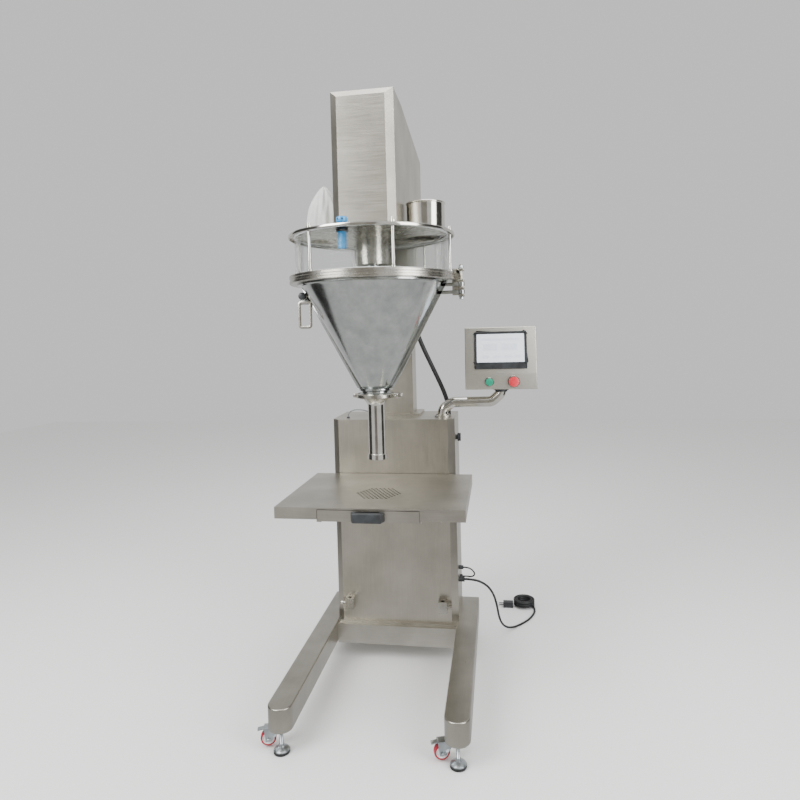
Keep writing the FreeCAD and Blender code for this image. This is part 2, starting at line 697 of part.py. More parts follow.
def table_top():
    """Folded tray-shaped table: perforated top, skirts and drawer runners."""
    low = TABLE_TOP - TABLE_SKIRT
    body = box(-TABLE_HALF, TABLE_HALF, TABLE_FRONT, TABLE_BACK, low, TABLE_TOP)
    body = body.cut(box(-TABLE_HALF + SHEET, TABLE_HALF - SHEET, TABLE_FRONT + SHEET,
                        TABLE_BACK - SHEET, low - 1, TABLE_TOP - SHEET))
    mouth = DRAWER_HALF + 3
    body = body.cut(box(-mouth, mouth, TABLE_FRONT - 1, TABLE_FRONT + 5, low - 1, DRAWER_HIGH + 2))
    body = body.cut(Part.makeCompound(field_holes()))
    rails = []
    for side in (-1, 1):
        inner, outer = side * (DRAWER_HALF + RUN_GAP), side * (DRAWER_HALF + 4)
        x0, x1 = sorted((inner, outer))
        y1 = DRAWER_BACK + 20
        rails.append(box(x0, x1, TABLE_FRONT + 3, y1, DRAWER_LOW - 3, TABLE_TOP - SHEET))
        x0, x1 = sorted((side * (DRAWER_HALF - 12), outer))
        rails.append(box(x0, x1, TABLE_FRONT + 3, y1, DRAWER_LOW - 3, DRAWER_LOW - RUN_GAP))
        brace = side * ROD_X
        rails.append(box(brace - 16, brace + 16, ROD_Y - 12, ROD_Y + 12, TABLE_TOP - 16, TABLE_TOP - SHEET))
    return joined([body] + rails)


def table_rods():
    """Two height rods, each with a collar under the table."""
    rods = []
    for side in (-1, 1):
        x = side * ROD_X
        rods.append(joined([drum(TABLE_ROD_R, x, ROD_Y, ROD_LOW, TABLE_TOP - 16),
                            drum(TABLE_ROD_R + 5, x, ROD_Y, TABLE_TOP - 30, TABLE_TOP - 16)]))
    return Part.makeCompound(rods)


def rod_clamp(side, low, height, open_bore):
    x = side * ROD_X
    block = box(x - 17, x + 17, ROD_Y - 14, CAB_FRONT, low, low + height)
    bore = TABLE_ROD_R + (0.05 if open_bore else RUN_GAP)
    block = block.cut(drum(bore, x, ROD_Y, low - 1, low + height + 1))
    screw = rod(5, V(x + side * 17, ROD_Y, low + height / 2), V(x + side * 34, ROD_Y, low + height / 2))
    head = rod(9, V(x + side * 26, ROD_Y, low + height / 2), V(x + side * 36, ROD_Y, low + height / 2))
    return joined([block, screw, head])


def rod_clamps():
    """Upper guides in use and lower ones for the low table position."""
    clamps = [rod_clamp(side, CLAMP_Z, 26, True) for side in (-1, 1)]
    clamps += [rod_clamp(side, LOW_CLAMP_Z, 44, False) for side in (-1, 1)]
    return Part.makeCompound(clamps)


def drawer_tray():
    half = DRAWER_HALF
    y0, y1 = TABLE_FRONT, DRAWER_BACK
    tray = box(-half, half, y0, y1, DRAWER_LOW, DRAWER_HIGH)
    return tray.cut(box(-half + SHEET, half - SHEET, y0 + SHEET, y1 - SHEET,
                        DRAWER_LOW + SHEET, DRAWER_HIGH + 1))


def drawer_handle():
    """Black bridge handle bolted to the drawer front."""
    y1 = TABLE_FRONT
    z0, z1 = DRAWER_LOW + 2, DRAWER_HIGH - 2
    outer = box(-56, 56, y1 - 26, y1, z0, z1)
    grip = box(-40, 40, y1 - 14, y1 + 1, z0 - 1, z1 + 1)
    return outer.cut(grip)


# ---- operator panel ------------------------------------------------------
def bent_tube(points, radius, bend):
    """Tube along straight runs joined by arcs of one bend radius."""
    nodes = [V(*p) for p in points]
    edges, start = [], nodes[0]
    for before, corner, after in zip(nodes, nodes[1:], nodes[2:]):
        a, b = (before - corner).normalize(), (after - corner).normalize()
        turn = math.pi - a.getAngle(b)
        back = bend * math.tan(turn / 2)
        into, out = corner + a * back, corner + b * back
        centre_line = (a + b).normalize()
        middle = corner + centre_line * (back / math.sin(turn / 2) * (1 - math.cos(turn / 2)))
        edges.append(Part.makeLine(start, into))
        edges.append(Part.Arc(into, middle, out).toShape())
        start = out
    edges.append(Part.makeLine(start, nodes[-1]))
    path = Part.Wire(edges)
    ring = Part.Wire(Part.makeCircle(radius, nodes[0], nodes[1] - nodes[0]))
    return path.makePipeShell([ring], True, False)


def display_arm():
    """Bent tube from the socket to a round flange under the console."""
    tube = bent_tube(ARM_ROUTE, ARM_R, ARM_BEND)
    x, y, z = ARM_ROUTE[-1]
    return joined([tube, drum(ARM_R + 9, x, y, z - 6, z)])


ARM_BEND = 32.0
ARM_ROUTE = [(ARM_FOOT_X, ARM_Y, CAB_TOP + TOP_PLATE + 6 + RUN_GAP), (ARM_FOOT_X, ARM_Y, 1004.0),
             (ARM_FOOT_X + 44, ARM_Y, 1029.0), (PANEL_X - 38, ARM_Y, 1031.0),
             (PANEL_X, ARM_Y, 1064.0), (PANEL_X, ARM_Y, PANEL_LOW - RUN_GAP)]


def display_box():
    """Sloping sheet-metal console for the screen and the two buttons."""
    outline = [(PANEL_FRONT, PANEL_LOW), (PANEL_FRONT, PANEL_FOLD),
               (PANEL_FRONT + PANEL_TILT, PANEL_HIGH), (PANEL_REAR, PANEL_HIGH), (PANEL_REAR, PANEL_LOW)]
    body = side_prism(outline, PANEL_X - PANEL_HALF, PANEL_X + PANEL_HALF)
    for x in (START_X, STOP_X):
        body = body.cut(rod(12.4, V(x, PANEL_FRONT - 1, BUTTON_Z), V(x, PANEL_FRONT + 34, BUTTON_Z)))
    return body


START_X, STOP_X, BUTTON_Z = PANEL_X - 45.0, PANEL_X + 49.0, 1113.0


def display_screen():
    """Touch screen unit with its bezel, flat on the sloping face."""
    rise = PANEL_HIGH - PANEL_FOLD
    angle = math.degrees(math.atan2(PANEL_TILT, rise))
    bezel = box(-BEZEL_W / 2, BEZEL_W / 2, -5, 0, -BEZEL_H / 2, BEZEL_H / 2)
    glass = box(-BEZEL_W / 2 + 24, BEZEL_W / 2 - 24, -6, -4, -BEZEL_H / 2 + 22, BEZEL_H / 2 - 22)
    unit = bezel.cut(glass)
    unit.rotate(V(0, 0, 0), RIGHT, -angle)
    middle = (PANEL_FOLD + PANEL_HIGH) / 2
    unit.translate(V(PANEL_X, PANEL_FRONT + PANEL_TILT / 2, middle))
    return unit


def push_button(x, cap_r, cap_t, neck_r):
    """Button cap on its plunger; it sinks into the console's bore."""
    gap = BUTTON_TRAVEL + RUN_GAP
    y = PANEL_FRONT
    cap = rod(cap_r, V(x, y - gap - cap_t, BUTTON_Z), V(x, y - gap, BUTTON_Z))
    stem = rod(neck_r, V(x, y - gap, BUTTON_Z), V(x, y + 20, BUTTON_Z))
    return joined([cap, stem])


BUTTON_TRAVEL = 4.0


# ---- wheels and feet -----------------------------------------------------
def at_caster(shape, side, end):
    """Turns a caster piece built at the origin and moves it under its leg."""
    shape.rotate(V(0, 0, 0), UP, CASTER_TURN * end)
    x, y = caster_axis(side, end)
    shape.translate(V(x, y, 0))
    return shape


def caster_axis(side, end):
    """Swivel axis beside the foot; end is 1 at the front and -1 at the back."""
    foot_y = FOOT_FRONT_Y if end > 0 else FOOT_REAR_Y
    return side * LEG_X - CASTER_ASIDE, foot_y + end * CASTER_BEHIND


def caster_fork(side, end):
    """Swivel plate, fork and brake pedal; the wheel trails towards -X."""
    wheel_x, wheel_z = -CASTER_TRAIL, WHEEL_R + WHEEL_LIFT
    crown_z = wheel_z + WHEEL_R + 5
    plug = drum(13, 0, 0, crown_z + 4, LEG_BOTTOM - RUN_GAP)
    half = WHEEL_W / 2 + 5
    crown = box(wheel_x - 14, 12, -half, half, crown_z, crown_z + 5)
    cheeks = []
    for s in (-1, 1):
        inner = s * (WHEEL_W / 2 + 2)
        cheek = face([V(12, inner, crown_z + 5), V(wheel_x - 14, inner, crown_z + 5),
                      V(wheel_x - 9, inner, wheel_z - 9), V(wheel_x + 9, inner, wheel_z - 9)])
        cheeks.append(cheek.extrude(V(0, s * 3, 0)))
    axle = rod(4, V(wheel_x, -half - 2, wheel_z), V(wheel_x, half + 2, wheel_z))
    pedal = box(wheel_x - 34, wheel_x - 12, -9, 9, crown_z, crown_z + 4)
    return at_caster(joined([plug, crown, axle, pedal] + cheeks), side, end)


def caster_wheel(side, end):
    x, z, half = -CASTER_TRAIL, WHEEL_R + WHEEL_LIFT, WHEEL_W / 2
    wheel = rod(WHEEL_R, V(x, -half, z), V(x, half, z))
    rims = [e for e in wheel.Edges if e.Length > 100 and abs(e.BoundBox.YLength) < 1]
    wheel = wheel.makeFillet(3, rims)
    return at_caster(wheel.cut(rod(4.05, V(x, -half - 1, z), V(x, half + 1, z))), side, end)


def levelling_foot(side, end):
    """Rubber-ringed pad on a threaded stem with a lock nut."""
    x, y = side * LEG_X, FOOT_FRONT_Y if end > 0 else FOOT_REAR_Y
    pad = turned([(0, 0), (FOOT_R, 0), (FOOT_R, 9), (FOOT_R - 4, 14), (9, 22), (0, 22)], x, y)
    stem = drum(6, x, y, 20, LEG_BOTTOM - RUN_GAP)
    nut = prism(polygon(x, y, 11, 6), 40, 50)
    return joined([pad, stem, nut])


# ---- cables --------------------------------------------------------------
def soft_tube(route, radius):
    """Cable along hand-set points; each arc is as large as its runs allow."""
    nodes = [V(*p) for p in route]
    edges, start, radii = [], nodes[0], []
    for before, corner, after in zip(nodes, nodes[1:], nodes[2:]):
        a, b = before - corner, after - corner
        back = 0.45 * min(a.Length, b.Length)
        turn = math.pi - a.getAngle(b)
        a.normalize()
        b.normalize()
        bend = back / math.tan(turn / 2)
        radii.append(round(bend))
        into, out = corner + a * back, corner + b * back
        middle = corner + (a + b).normalize() * (bend / math.cos(turn / 2) - bend)
        edges.append(Part.makeLine(start, into))
        edges.append(Part.Arc(into, middle, out).toShape())
        start = out
    edges.append(Part.makeLine(start, nodes[-1]))
    path = Part.Wire(edges)
    ring = Part.Wire(Part.makeCircle(radius, nodes[0], nodes[1] - nodes[0]))
    tube = path.makePipeShell([ring], True, False)
    share = tube.Volume / (math.pi * radius ** 2 * path.Length)
    print("cable length", round(path.Length), "volume share", round(share, 3), "radii", radii)
    return tube


HOSE_R = 9.0
HOSE_ROUTE = [(62, 100, 1575), (62, 102, 1500), (70, 108, 1420), (88, 120, 1340), (114, 136, 1262),
              (146, 154, 1186), (178, 170, 1112), (202, 184, 1050), (213, 190, 1000), (213, 190, 971)]
WIRE_R = 2.5
WIRE_ROUTE = [(-190, 78, 976), (-190, 78, 990), (-175, 85, 1002), (-150, 96, 1004),
              (-126, 108, 998), (-106, 120, 990), (-88, 128.5, 985)]
SIDE_R = 3.0
SIDE_ROUTE = [(264, 118, 352), (280, 118, 352), (297, 123, 343), (308, 136, 324), (306, 156, 304),
              (291, 173, 292), (273, 182, 290), (256, 182, 290)]
CORD_R = 4.5
CORD_ROUTE = [(268, 118, 303), (296, 118, 303), (330, 122, 295), (364, 132, 270), (386, 150, 226),
              (396, 176, 172), (402, 210, 116), (412, 250, 66), (432, 292, 28), (462, 334, 8),
              (498, 376, 4.5), (532, 420, 4.5), (556, 470, 4.5), (568, 522, 4.5)]
COIL_X, COIL_Y, COIL_R, COIL_H = 520.0, 577.0, 52.0, 36.0


def power_cord():
    return soft_tube(CORD_ROUTE, CORD_R)


def cord_coil():
    """Outer shape of the coiled length, flat on the floor."""
    ring = pipe(COIL_R, COIL_R - 22, COIL_X, COIL_Y, 0, COIL_H)
    return ring


def power_plug():
    """Moulded plug lying beside the coil, with two round pins."""
    x, y = COIL_X - COIL_R, COIL_Y - 19
    body = box(x - 46, x, y - 13, y + 13, 0, 26)
    pins = [rod(2.4, V(x - 66, y + s * 9.5, 13), V(x - 46, y + s * 9.5, 13)) for s in (-1, 1)]
    return joined([body] + pins)


def cable_glands():
    """Hexagonal cable glands on the cabinet side, its top and the foot plate."""
    glands = []
    for route, size in ((SIDE_ROUTE[0], 8.0), (CORD_ROUTE[0], 10.0)):
        x, y, z = route
        body = rod(size, V(CAB_HALF, y, z), V(x, y, z))
        glands.append(body)
    x, y, z = SIDE_ROUTE[-1]
    glands.append(rod(8, V(CAB_HALF, y, z), V(x, y, z)))
    top = CAB_TOP + TOP_PLATE
    x, y, z = WIRE_ROUTE[0]
    glands.append(drum(6, x, y, top, z))
    return Part.makeCompound(glands)


# ---- assembly ------------------------------------------------------------
CORD_NODES = ("power_cord", "cord_coil", "power_plug")
CORNERS = [("front_left", -1, 1), ("front_right", 1, 1), ("rear_left", -1, -1), ("rear_right", 1, -1)]


def build():
    nodes = {
        "leg_left": leg(-1), "leg_right": leg(1), "base_crossbars": crossbars(),
        "cabinet_shell": cabinet_shell(), "cabinet_top": cabinet_top(), "rear_door": rear_door(),
        "side_latch": side_latch(), "support_column": column(), "motor_housing": motor_housing(),
        "bearing_housing": bearing_housing(), "servo_motor": servo_motor(),
        "agitator_motor": agitator_motor(), "driven_gear": driven_gear(), "drive_gear": drive_gear(),
        "shaft_coupling": shaft_coupling(), "auger_screw": auger_screw(),
        "agitator_frame": agitator_frame(), "hopper_rear_half": hopper_rear_half(),
        "hopper_front_half": hopper_front_half(), "hopper_ring": hopper_ring(),
        "clear_cylinder": clear_cylinder(), "hopper_lid": hopper_lid(), "inlet_port": inlet_port(),
        "breather_bag": breather_bag(), "level_sensor": level_sensor(), "tie_rods": tie_rods(),
        "latch_bolt": latch_bolt(), "pull_handle": pull_handle(), "spout_tube": spout_tube(),
        "spout_clamp": spout_clamp(), "wing_nut": wing_nut(), "table_top": table_top(),
        "table_rods": table_rods(), "rod_clamps": rod_clamps(), "drawer_tray": drawer_tray(),
        "drawer_handle": drawer_handle(), "display_arm": display_arm(), "display_box": display_box(),
        "display_screen": display_screen(), "start_button": push_button(START_X, 15, 8, 12),
        "stop_button": push_button(STOP_X, 20, 12, 12), "conduit_hose": soft_tube(HOSE_ROUTE, HOSE_R),
        "sensor_wire": soft_tube(WIRE_ROUTE, WIRE_R), "side_cable": soft_tube(SIDE_ROUTE, SIDE_R),
        "power_cord": power_cord(), "cord_coil": cord_coil(), "power_plug": power_plug(),
        "cable_glands": cable_glands(),
    }
    for name, side, end in CORNERS:
        nodes["caster_fork_" + name] = caster_fork(side, end)
        nodes["caster_wheel_" + name] = caster_wheel(side, end)
        nodes["levelling_foot_" + name] = levelling_foot(side, end)
    return nodes


NODES = build()
STANDING = Part.makeCompound([s for n, s in NODES.items() if n not in CORD_NODES])
BOUNDS = STANDING.optimalBoundingBox(True, False)
SHIFT = V(-(BOUNDS.XMin + BOUNDS.XMax) / 2, -(BOUNDS.YMin + BOUNDS.YMax) / 2, -BOUNDS.ZMin)

os.makedirs("parts", exist_ok=True)
for node_name, shape in NODES.items():
    shape.translate(SHIFT)
    shape.exportStep("parts/" + node_name + ".step")
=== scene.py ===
import math
import random

import bmesh
import bpy
from mathutils import Matrix, Vector, noise


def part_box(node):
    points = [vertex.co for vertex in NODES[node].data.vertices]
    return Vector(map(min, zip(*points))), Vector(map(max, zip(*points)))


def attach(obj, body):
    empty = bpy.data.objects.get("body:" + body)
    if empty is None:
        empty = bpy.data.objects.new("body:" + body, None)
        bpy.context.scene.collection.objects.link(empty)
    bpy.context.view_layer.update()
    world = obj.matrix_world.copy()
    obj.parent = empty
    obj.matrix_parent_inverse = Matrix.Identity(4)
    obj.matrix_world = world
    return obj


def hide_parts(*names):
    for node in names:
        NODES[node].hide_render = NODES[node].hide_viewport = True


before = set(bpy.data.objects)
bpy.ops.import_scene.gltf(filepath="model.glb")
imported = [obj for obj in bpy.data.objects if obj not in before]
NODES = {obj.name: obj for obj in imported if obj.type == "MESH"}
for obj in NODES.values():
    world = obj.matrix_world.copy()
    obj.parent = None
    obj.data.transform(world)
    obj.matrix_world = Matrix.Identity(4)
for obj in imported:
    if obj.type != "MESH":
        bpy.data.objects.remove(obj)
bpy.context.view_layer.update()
MM = 0.001
random.seed(41)

# The CAD frame is centred on the footprint; this is the machine's own zero in it.
LEG_LOW, LEG_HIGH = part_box("leg_left"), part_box("leg_right")
CENTRE_X = (LEG_LOW[0].x + LEG_HIGH[1].x) / 2
BAR_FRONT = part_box("base_crossbars")[0].y
SPOUT_LOW, SPOUT_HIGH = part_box("spout_tube")
AXIS = Vector(((SPOUT_LOW.x + SPOUT_HIGH.x) / 2, (SPOUT_LOW.y + SPOUT_HIGH.y) / 2, 0))


def at(x, y, z):
    """A point given in the machine's own millimetres, in the frame's metres."""
    return Vector((CENTRE_X + x * MM, BAR_FRONT + y * MM, z * MM))


# ---- camera, light and floor ---------------------------------------------
def camera():
    """A low standing view from just right of centre, with the photo's lean."""
    yaw, pitch, roll = 0.158, -0.033, -0.026
    forward = Vector((-math.sin(yaw) * math.cos(pitch), math.cos(yaw) * math.cos(pitch), math.sin(pitch)))
    level = forward.cross(Vector((0, 0, 1))).normalized()
    upright = level.cross(forward)
    right = level * math.cos(roll) + upright * math.sin(roll)
    up = upright * math.cos(roll) - level * math.sin(roll)
    turn = Matrix((right, up, -forward)).transposed().to_4x4()
    data = bpy.data.cameras.new("camera")
    data.lens, data.sensor_width = 27.7, 36.0
    data.shift_y = -0.056
    data.clip_start, data.clip_end = 0.05, 60.0
    view = bpy.data.objects.new("camera", data)
    view.matrix_world = Matrix.Translation(at(421.3, -2370.6, 1306.1)) @ turn
    bpy.context.scene.collection.objects.link(view)
    bpy.context.scene.camera = view


def area_light(name, place, aim, size, power, colour=(1, 1, 1)):
    data = bpy.data.lights.new(name, "AREA")
    data.shape = "RECTANGLE"
    data.size, data.size_y = size
    data.energy, data.color = power, colour
    lamp = bpy.data.objects.new(name, data)
    lamp.location = place
    lamp.rotation_euler = (Vector(aim) - Vector(place)).to_track_quat("-Z", "Y").to_euler()
    bpy.context.scene.collection.objects.link(lamp)


camera()


# ---- colours and nodes ---------------------------------------------------
def linear(code):
    """sRGB hex to a linear RGBA tuple."""
    parts = [int(code[i:i + 2], 16) / 255 for i in (1, 3, 5)]
    curve = [c / 12.92 if c <= 0.04045 else ((c + 0.055) / 1.055) ** 2.4 for c in parts]
    return (*curve, 1.0)


def add(tree, kind, settings=None, links=None):
    """One node with its settings and its incoming links."""
    node = tree.nodes.new(kind)
    for name, value in (settings or {}).items():
        if isinstance(name, int) or name in node.inputs:
            node.inputs[name].default_value = value
        else:
            setattr(node, name, value)
    for name, source in (links or {}).items():
        tree.links.new(source, node.inputs[name])
    return node


def new_material(name):
    mat = bpy.data.materials.new(name)
    mat.use_nodes = True
    tree = mat.node_tree
    tree.nodes.clear()
    shader = add(tree, "ShaderNodeBsdfPrincipled")
    out = add(tree, "ShaderNodeOutputMaterial", links={"Surface": shader.outputs["BSDF"]})
    out.is_active_output = True
    return mat, tree, shader


def ramp(tree, source, stops):
    node = add(tree, "ShaderNodeValToRGB", links={"Fac": source})
    bar = node.color_ramp
    while len(bar.elements) < len(stops):
        bar.elements.new(0.5)
    for element, (place, colour) in zip(bar.elements, stops):
        element.position = place
        element.color = colour
    return node.outputs["Color"]


def grey(value):
    return (value, value, value, 1)


def brushed_stainless(name, light, dark, rough, grain, fine_mm=1.1, long_mm=90.0, bump=0.25):
    """304 sheet with a number 4 finish: belt-ground lines along one axis that
    break the reflection into a soft streak, with faint handling stains."""
    mat, tree, shader = new_material(name)
    coords = add(tree, "ShaderNodeTexCoord").outputs["Object"]
    fine, long = 1 / (fine_mm * MM), 1 / (long_mm * MM)
    scale = [fine, fine, fine]
    scale["xyz".index(grain)] = long
    lines = add(tree, "ShaderNodeMapping", {"Scale": scale}, {"Vector": coords})
    grit = add(tree, "ShaderNodeTexNoise", {"Scale": 1.0, "Detail": 3.0, "Roughness": 0.6},
               {"Vector": lines.outputs["Vector"]})
    cloud = add(tree, "ShaderNodeTexNoise", {"Scale": 1 / (160 * MM), "Detail": 4.0, "Roughness": 0.55},
                {"Vector": coords})
    tone = ramp(tree, cloud.outputs["Fac"], [(0.32, linear(dark)), (0.68, linear(light))])
    streak = ramp(tree, grit.outputs["Fac"], [(0.3, grey(0.86)), (0.7, grey(1.0))])
    mixed = add(tree, "ShaderNodeMix", {"data_type": "RGBA", "blend_type": "MULTIPLY", "Factor": 1.0})
    tree.links.new(tone, mixed.inputs["A"])
    tree.links.new(streak, mixed.inputs["B"])
    gloss = ramp(tree, grit.outputs["Fac"], [(0.25, grey(rough - 0.06)), (0.75, grey(rough + 0.07))])
    relief = add(tree, "ShaderNodeBump", {"Strength": bump, "Distance": 0.00025},
                 {"Height": grit.outputs["Fac"]})
    tree.links.new(mixed.outputs["Result"], shader.inputs["Base Color"])
    tree.links.new(gloss, shader.inputs["Roughness"])
    tree.links.new(relief.outputs["Normal"], shader.inputs["Normal"])
    shader.inputs["Metallic"].default_value = 1.0
    return mat


def polished_stainless(name, light, dark, rough):
    """Spun or drawn 304, buffed: a near mirror with faint buffing haze."""
    mat, tree, shader = new_material(name)
    coords = add(tree, "ShaderNodeTexCoord").outputs["Object"]
    haze = add(tree, "ShaderNodeTexNoise", {"Scale": 1 / (45 * MM), "Detail": 5.0, "Roughness": 0.6},
               {"Vector": coords})
    tone = ramp(tree, haze.outputs["Fac"], [(0.3, linear(dark)), (0.7, linear(light))])
    gloss = ramp(tree, haze.outputs["Fac"], [(0.3, grey(rough)), (0.75, grey(rough + 0.06))])
    tree.links.new(tone, shader.inputs["Base Color"])
    tree.links.new(gloss, shader.inputs["Roughness"])
    shader.inputs["Metallic"].default_value = 1.0
    return mat


def moulded(name, colour, second, rough, grain_mm=0.8, bump=0.15, coat=0.0):
    """Injection-moulded plastic or rubber: fine spark-eroded skin, even colour."""
    mat, tree, shader = new_material(name)
    coords = add(tree, "ShaderNodeTexCoord").outputs["Object"]
    skin = add(tree, "ShaderNodeTexNoise", {"Scale": 1 / (grain_mm * MM), "Detail": 2.0}, {"Vector": coords})
    wear = add(tree, "ShaderNodeTexNoise", {"Scale": 1 / (30 * MM), "Detail": 3.0}, {"Vector": coords})
    tone = ramp(tree, wear.outputs["Fac"], [(0.35, linear(colour)), (0.7, linear(second))])
    gloss = ramp(tree, wear.outputs["Fac"], [(0.3, grey(rough - 0.05)), (0.7, grey(rough + 0.08))])
    relief = add(tree, "ShaderNodeBump", {"Strength": bump, "Distance": 0.0002}, {"Height": skin.outputs["Fac"]})
    tree.links.new(tone, shader.inputs["Base Color"])
    tree.links.new(gloss, shader.inputs["Roughness"])
    tree.links.new(relief.outputs["Normal"], shader.inputs["Normal"])
    shader.inputs["Coat Weight"].default_value = coat
    shader.inputs["Coat Roughness"].default_value = 0.1
    return mat


def clear_acrylic():
    """Cast acrylic tube: water-clear, with a faint grey-green tint in its edge."""
    mat, tree, shader = new_material("cast_acrylic_clear")
    coords = add(tree, "ShaderNodeTexCoord").outputs["Object"]
    dust = add(tree, "ShaderNodeTexNoise", {"Scale": 1 / (70 * MM), "Detail": 5.0}, {"Vector": coords})
    gloss = ramp(tree, dust.outputs["Fac"], [(0.4, grey(0.02)), (0.8, grey(0.12))])
    tree.links.new(gloss, shader.inputs["Roughness"])
    shader.inputs["Base Color"].default_value = linear("#eef3f0")
    shader.inputs["IOR"].default_value = 1.1
    shader.inputs["Transmission Weight"].default_value = 1.0
    shader.inputs["Alpha"].default_value = 0.35
    return mat


def filter_cloth():
    """White woven polyester filter cloth, thin enough to glow through."""
    mat, tree, shader = new_material("woven_polyester_filter_cloth")
    coords = add(tree, "ShaderNodeTexCoord").outputs["Object"]
    thread = 1 / (1.6 * MM)
    warp = add(tree, "ShaderNodeTexWave", {"Scale": thread / 6.283, "Distortion": 0.6, "bands_direction": "Z"},
               {"Vector": coords})
    weft = add(tree, "ShaderNodeTexWave", {"Scale": thread / 6.283, "Distortion": 0.6, "bands_direction": "X"},
               {"Vector": coords})
    weave = add(tree, "ShaderNodeMath", {"operation": "ADD"})
    tree.links.new(warp.outputs["Fac"], weave.inputs[0])
    tree.links.new(weft.outputs["Fac"], weave.inputs[1])
    relief = add(tree, "ShaderNodeBump", {"Strength": 0.25, "Distance": 0.0004}, {"Height": weave.outputs["Value"]})
    stain = add(tree, "ShaderNodeTexNoise", {"Scale": 1 / (40 * MM), "Detail": 3.0}, {"Vector": coords})
    tone = ramp(tree, stain.outputs["Fac"], [(0.3, linear("#e4e6e4")), (0.7, linear("#f6f7f5"))])
    tree.links.new(tone, shader.inputs["Base Color"])
    tree.links.new(relief.outputs["Normal"], shader.inputs["Normal"])
    shader.inputs["Roughness"].default_value = 0.75
    shader.inputs["Transmission Weight"].default_value = 0.25
    shader.inputs["Alpha"].default_value = 0.82
    shader.inputs["Sheen Weight"].default_value = 0.3
    return mat


SHEET_UP = brushed_stainless("stainless_sheet_upright_grain", "#c9c4b8", "#b5b0a5", 0.34, "z")
SHEET_ACROSS = brushed_stainless("stainless_sheet_cross_grain", "#cbc7bd", "#b4b0a6", 0.36, "x")
SHEET_LONG = brushed_stainless("stainless_tube_lengthwise_grain", "#bdb9ae", "#a6a298", 0.33, "y")
SPUN = polished_stainless("spun_stainless_buffed", "#c3c6c3", "#a9adab", 0.14)
BRIGHT = polished_stainless("polished_stainless_bright", "#dddbd4", "#c4c2bb", 0.10)
SATIN = polished_stainless("satin_stainless_turned", "#c2bfb6", "#a5a299", 0.24)
ZINC = polished_stainless("zinc_plated_steel", "#cdd2d4", "#aab1b5", 0.28)
CLEAR = clear_acrylic()
CLOTH = filter_cloth()
BLACK_ABS = moulded("abs_black_moulded", "#26282a", "#34373a", 0.42)
DARK_PAINT = moulded("black_enamel_motor", "#1d1e20", "#292b2d", 0.38)
GREY_PAINT = moulded("grey_enamel_gear_motor", "#7c8488", "#8b9296", 0.4)
BLACK_PVC = moulded("pvc_black_cable", "#191a1b", "#252627", 0.48)
GREY_PVC = moulded("pvc_grey_wire", "#6d7071", "#828586", 0.5)
BLUE_ABS = moulded("abs_blue_sensor", "#2a8fd0", "#3aa4e6", 0.3, coat=0.4)
GREEN_PC = moulded("polycarbonate_green_button", "#0f8f70", "#18a583", 0.25, coat=0.6)
RED_PC = moulded("polycarbonate_red_button", "#d02a38", "#e23d4a", 0.28, coat=0.6)
RED_PU = moulded("polyurethane_maroon_tyre", "#8c1526", "#a62033", 0.4)
WHITE_PA = moulded("nylon_white_hub", "#dfe2e3", "#eff1f1", 0.38)
RUBBER = moulded("rubber_black_ring", "#202122", "#2c2d2e", 0.6)


# ---- shaping helpers: every piece is made in machine millimetres ---------
def turn_of(cx, cy, cz, along):
    """Place and turn that carry a shape's own Z onto an axis letter."""
    axis = {"x": (0, 90), "y": (-90, 0), "z": (0, 0)}[along]
    tilt = Matrix.Rotation(math.radians(axis[0]), 4, "X") @ Matrix.Rotation(math.radians(axis[1]), 4, "Y")
    return Matrix.Translation((cx, cy, cz)) @ tilt


def slab(bm, x0, x1, y0, y1, z0, z1):
    size = Matrix.Diagonal((x1 - x0, y1 - y0, z1 - z0, 1))
    place = Matrix.Translation(((x0 + x1) / 2, (y0 + y1) / 2, (z0 + z1) / 2))
    return bmesh.ops.create_cube(bm, size=1, matrix=place @ size)["verts"]


def drum(bm, radius, cx, cy, low, high, along="z", top=None, sides=48):
    """Round bar or cone along an axis; cx and cy are the other two coordinates in order."""
    middle = (low + high) / 2
    centre = {"x": (middle, cx, cy), "y": (cx, middle, cy), "z": (cx, cy, middle)}[along]
    flip = along == "y"
    ends = (radius, top if top is not None else radius)
    return bmesh.ops.create_cone(bm, cap_ends=True, segments=sides, radius1=ends[0], radius2=ends[1],
                                 depth=high - low, matrix=turn_of(*centre, along))["verts"]


def lathe(bm, profile, cx, cy, along="z", closed=True, steps=96, start=0.0, sweep=360.0):
    """Spin (radius, height) points about an axis; a closed profile makes a solid wall."""
    verts = [bm.verts.new((r, 0, h)) for r, h in profile]
    edges = [bm.edges.new(pair) for pair in zip(verts, verts[1:])]
    if closed:
        edges.append(bm.edges.new((verts[-1], verts[0])))
    bmesh.ops.rotate(bm, verts=verts, cent=(0, 0, 0), matrix=Matrix.Rotation(math.radians(start), 3, "Z"))
    spun = bmesh.ops.spin(bm, geom=verts + edges, cent=(0, 0, 0), axis=(0, 0, 1),
                          angle=math.radians(sweep), steps=steps, use_merge=abs(sweep - 360) < 1e-6)
    every = list({v for v in bm.verts if v.is_valid and v.tag is False})
    made = connected(verts)
    bmesh.ops.remove_doubles(bm, verts=made, dist=1e-4)
    made = [v for v in made if v.is_valid]
    centre = {"x": (0, cx, cy), "y": (cx, 0, cy), "z": (cx, cy, 0)}[along]
    bmesh.ops.transform(bm, matrix=turn_of(*centre, along), verts=made)
    return made


def connected(seeds):
    """Every vertex joined to the seeds by edges."""
    found, waiting = set(seeds), list(seeds)
    while waiting:
        for edge in waiting.pop().link_edges:
            for vert in edge.verts:
                if vert not in found:
                    found.add(vert)
                    waiting.append(vert)
    return list(found)


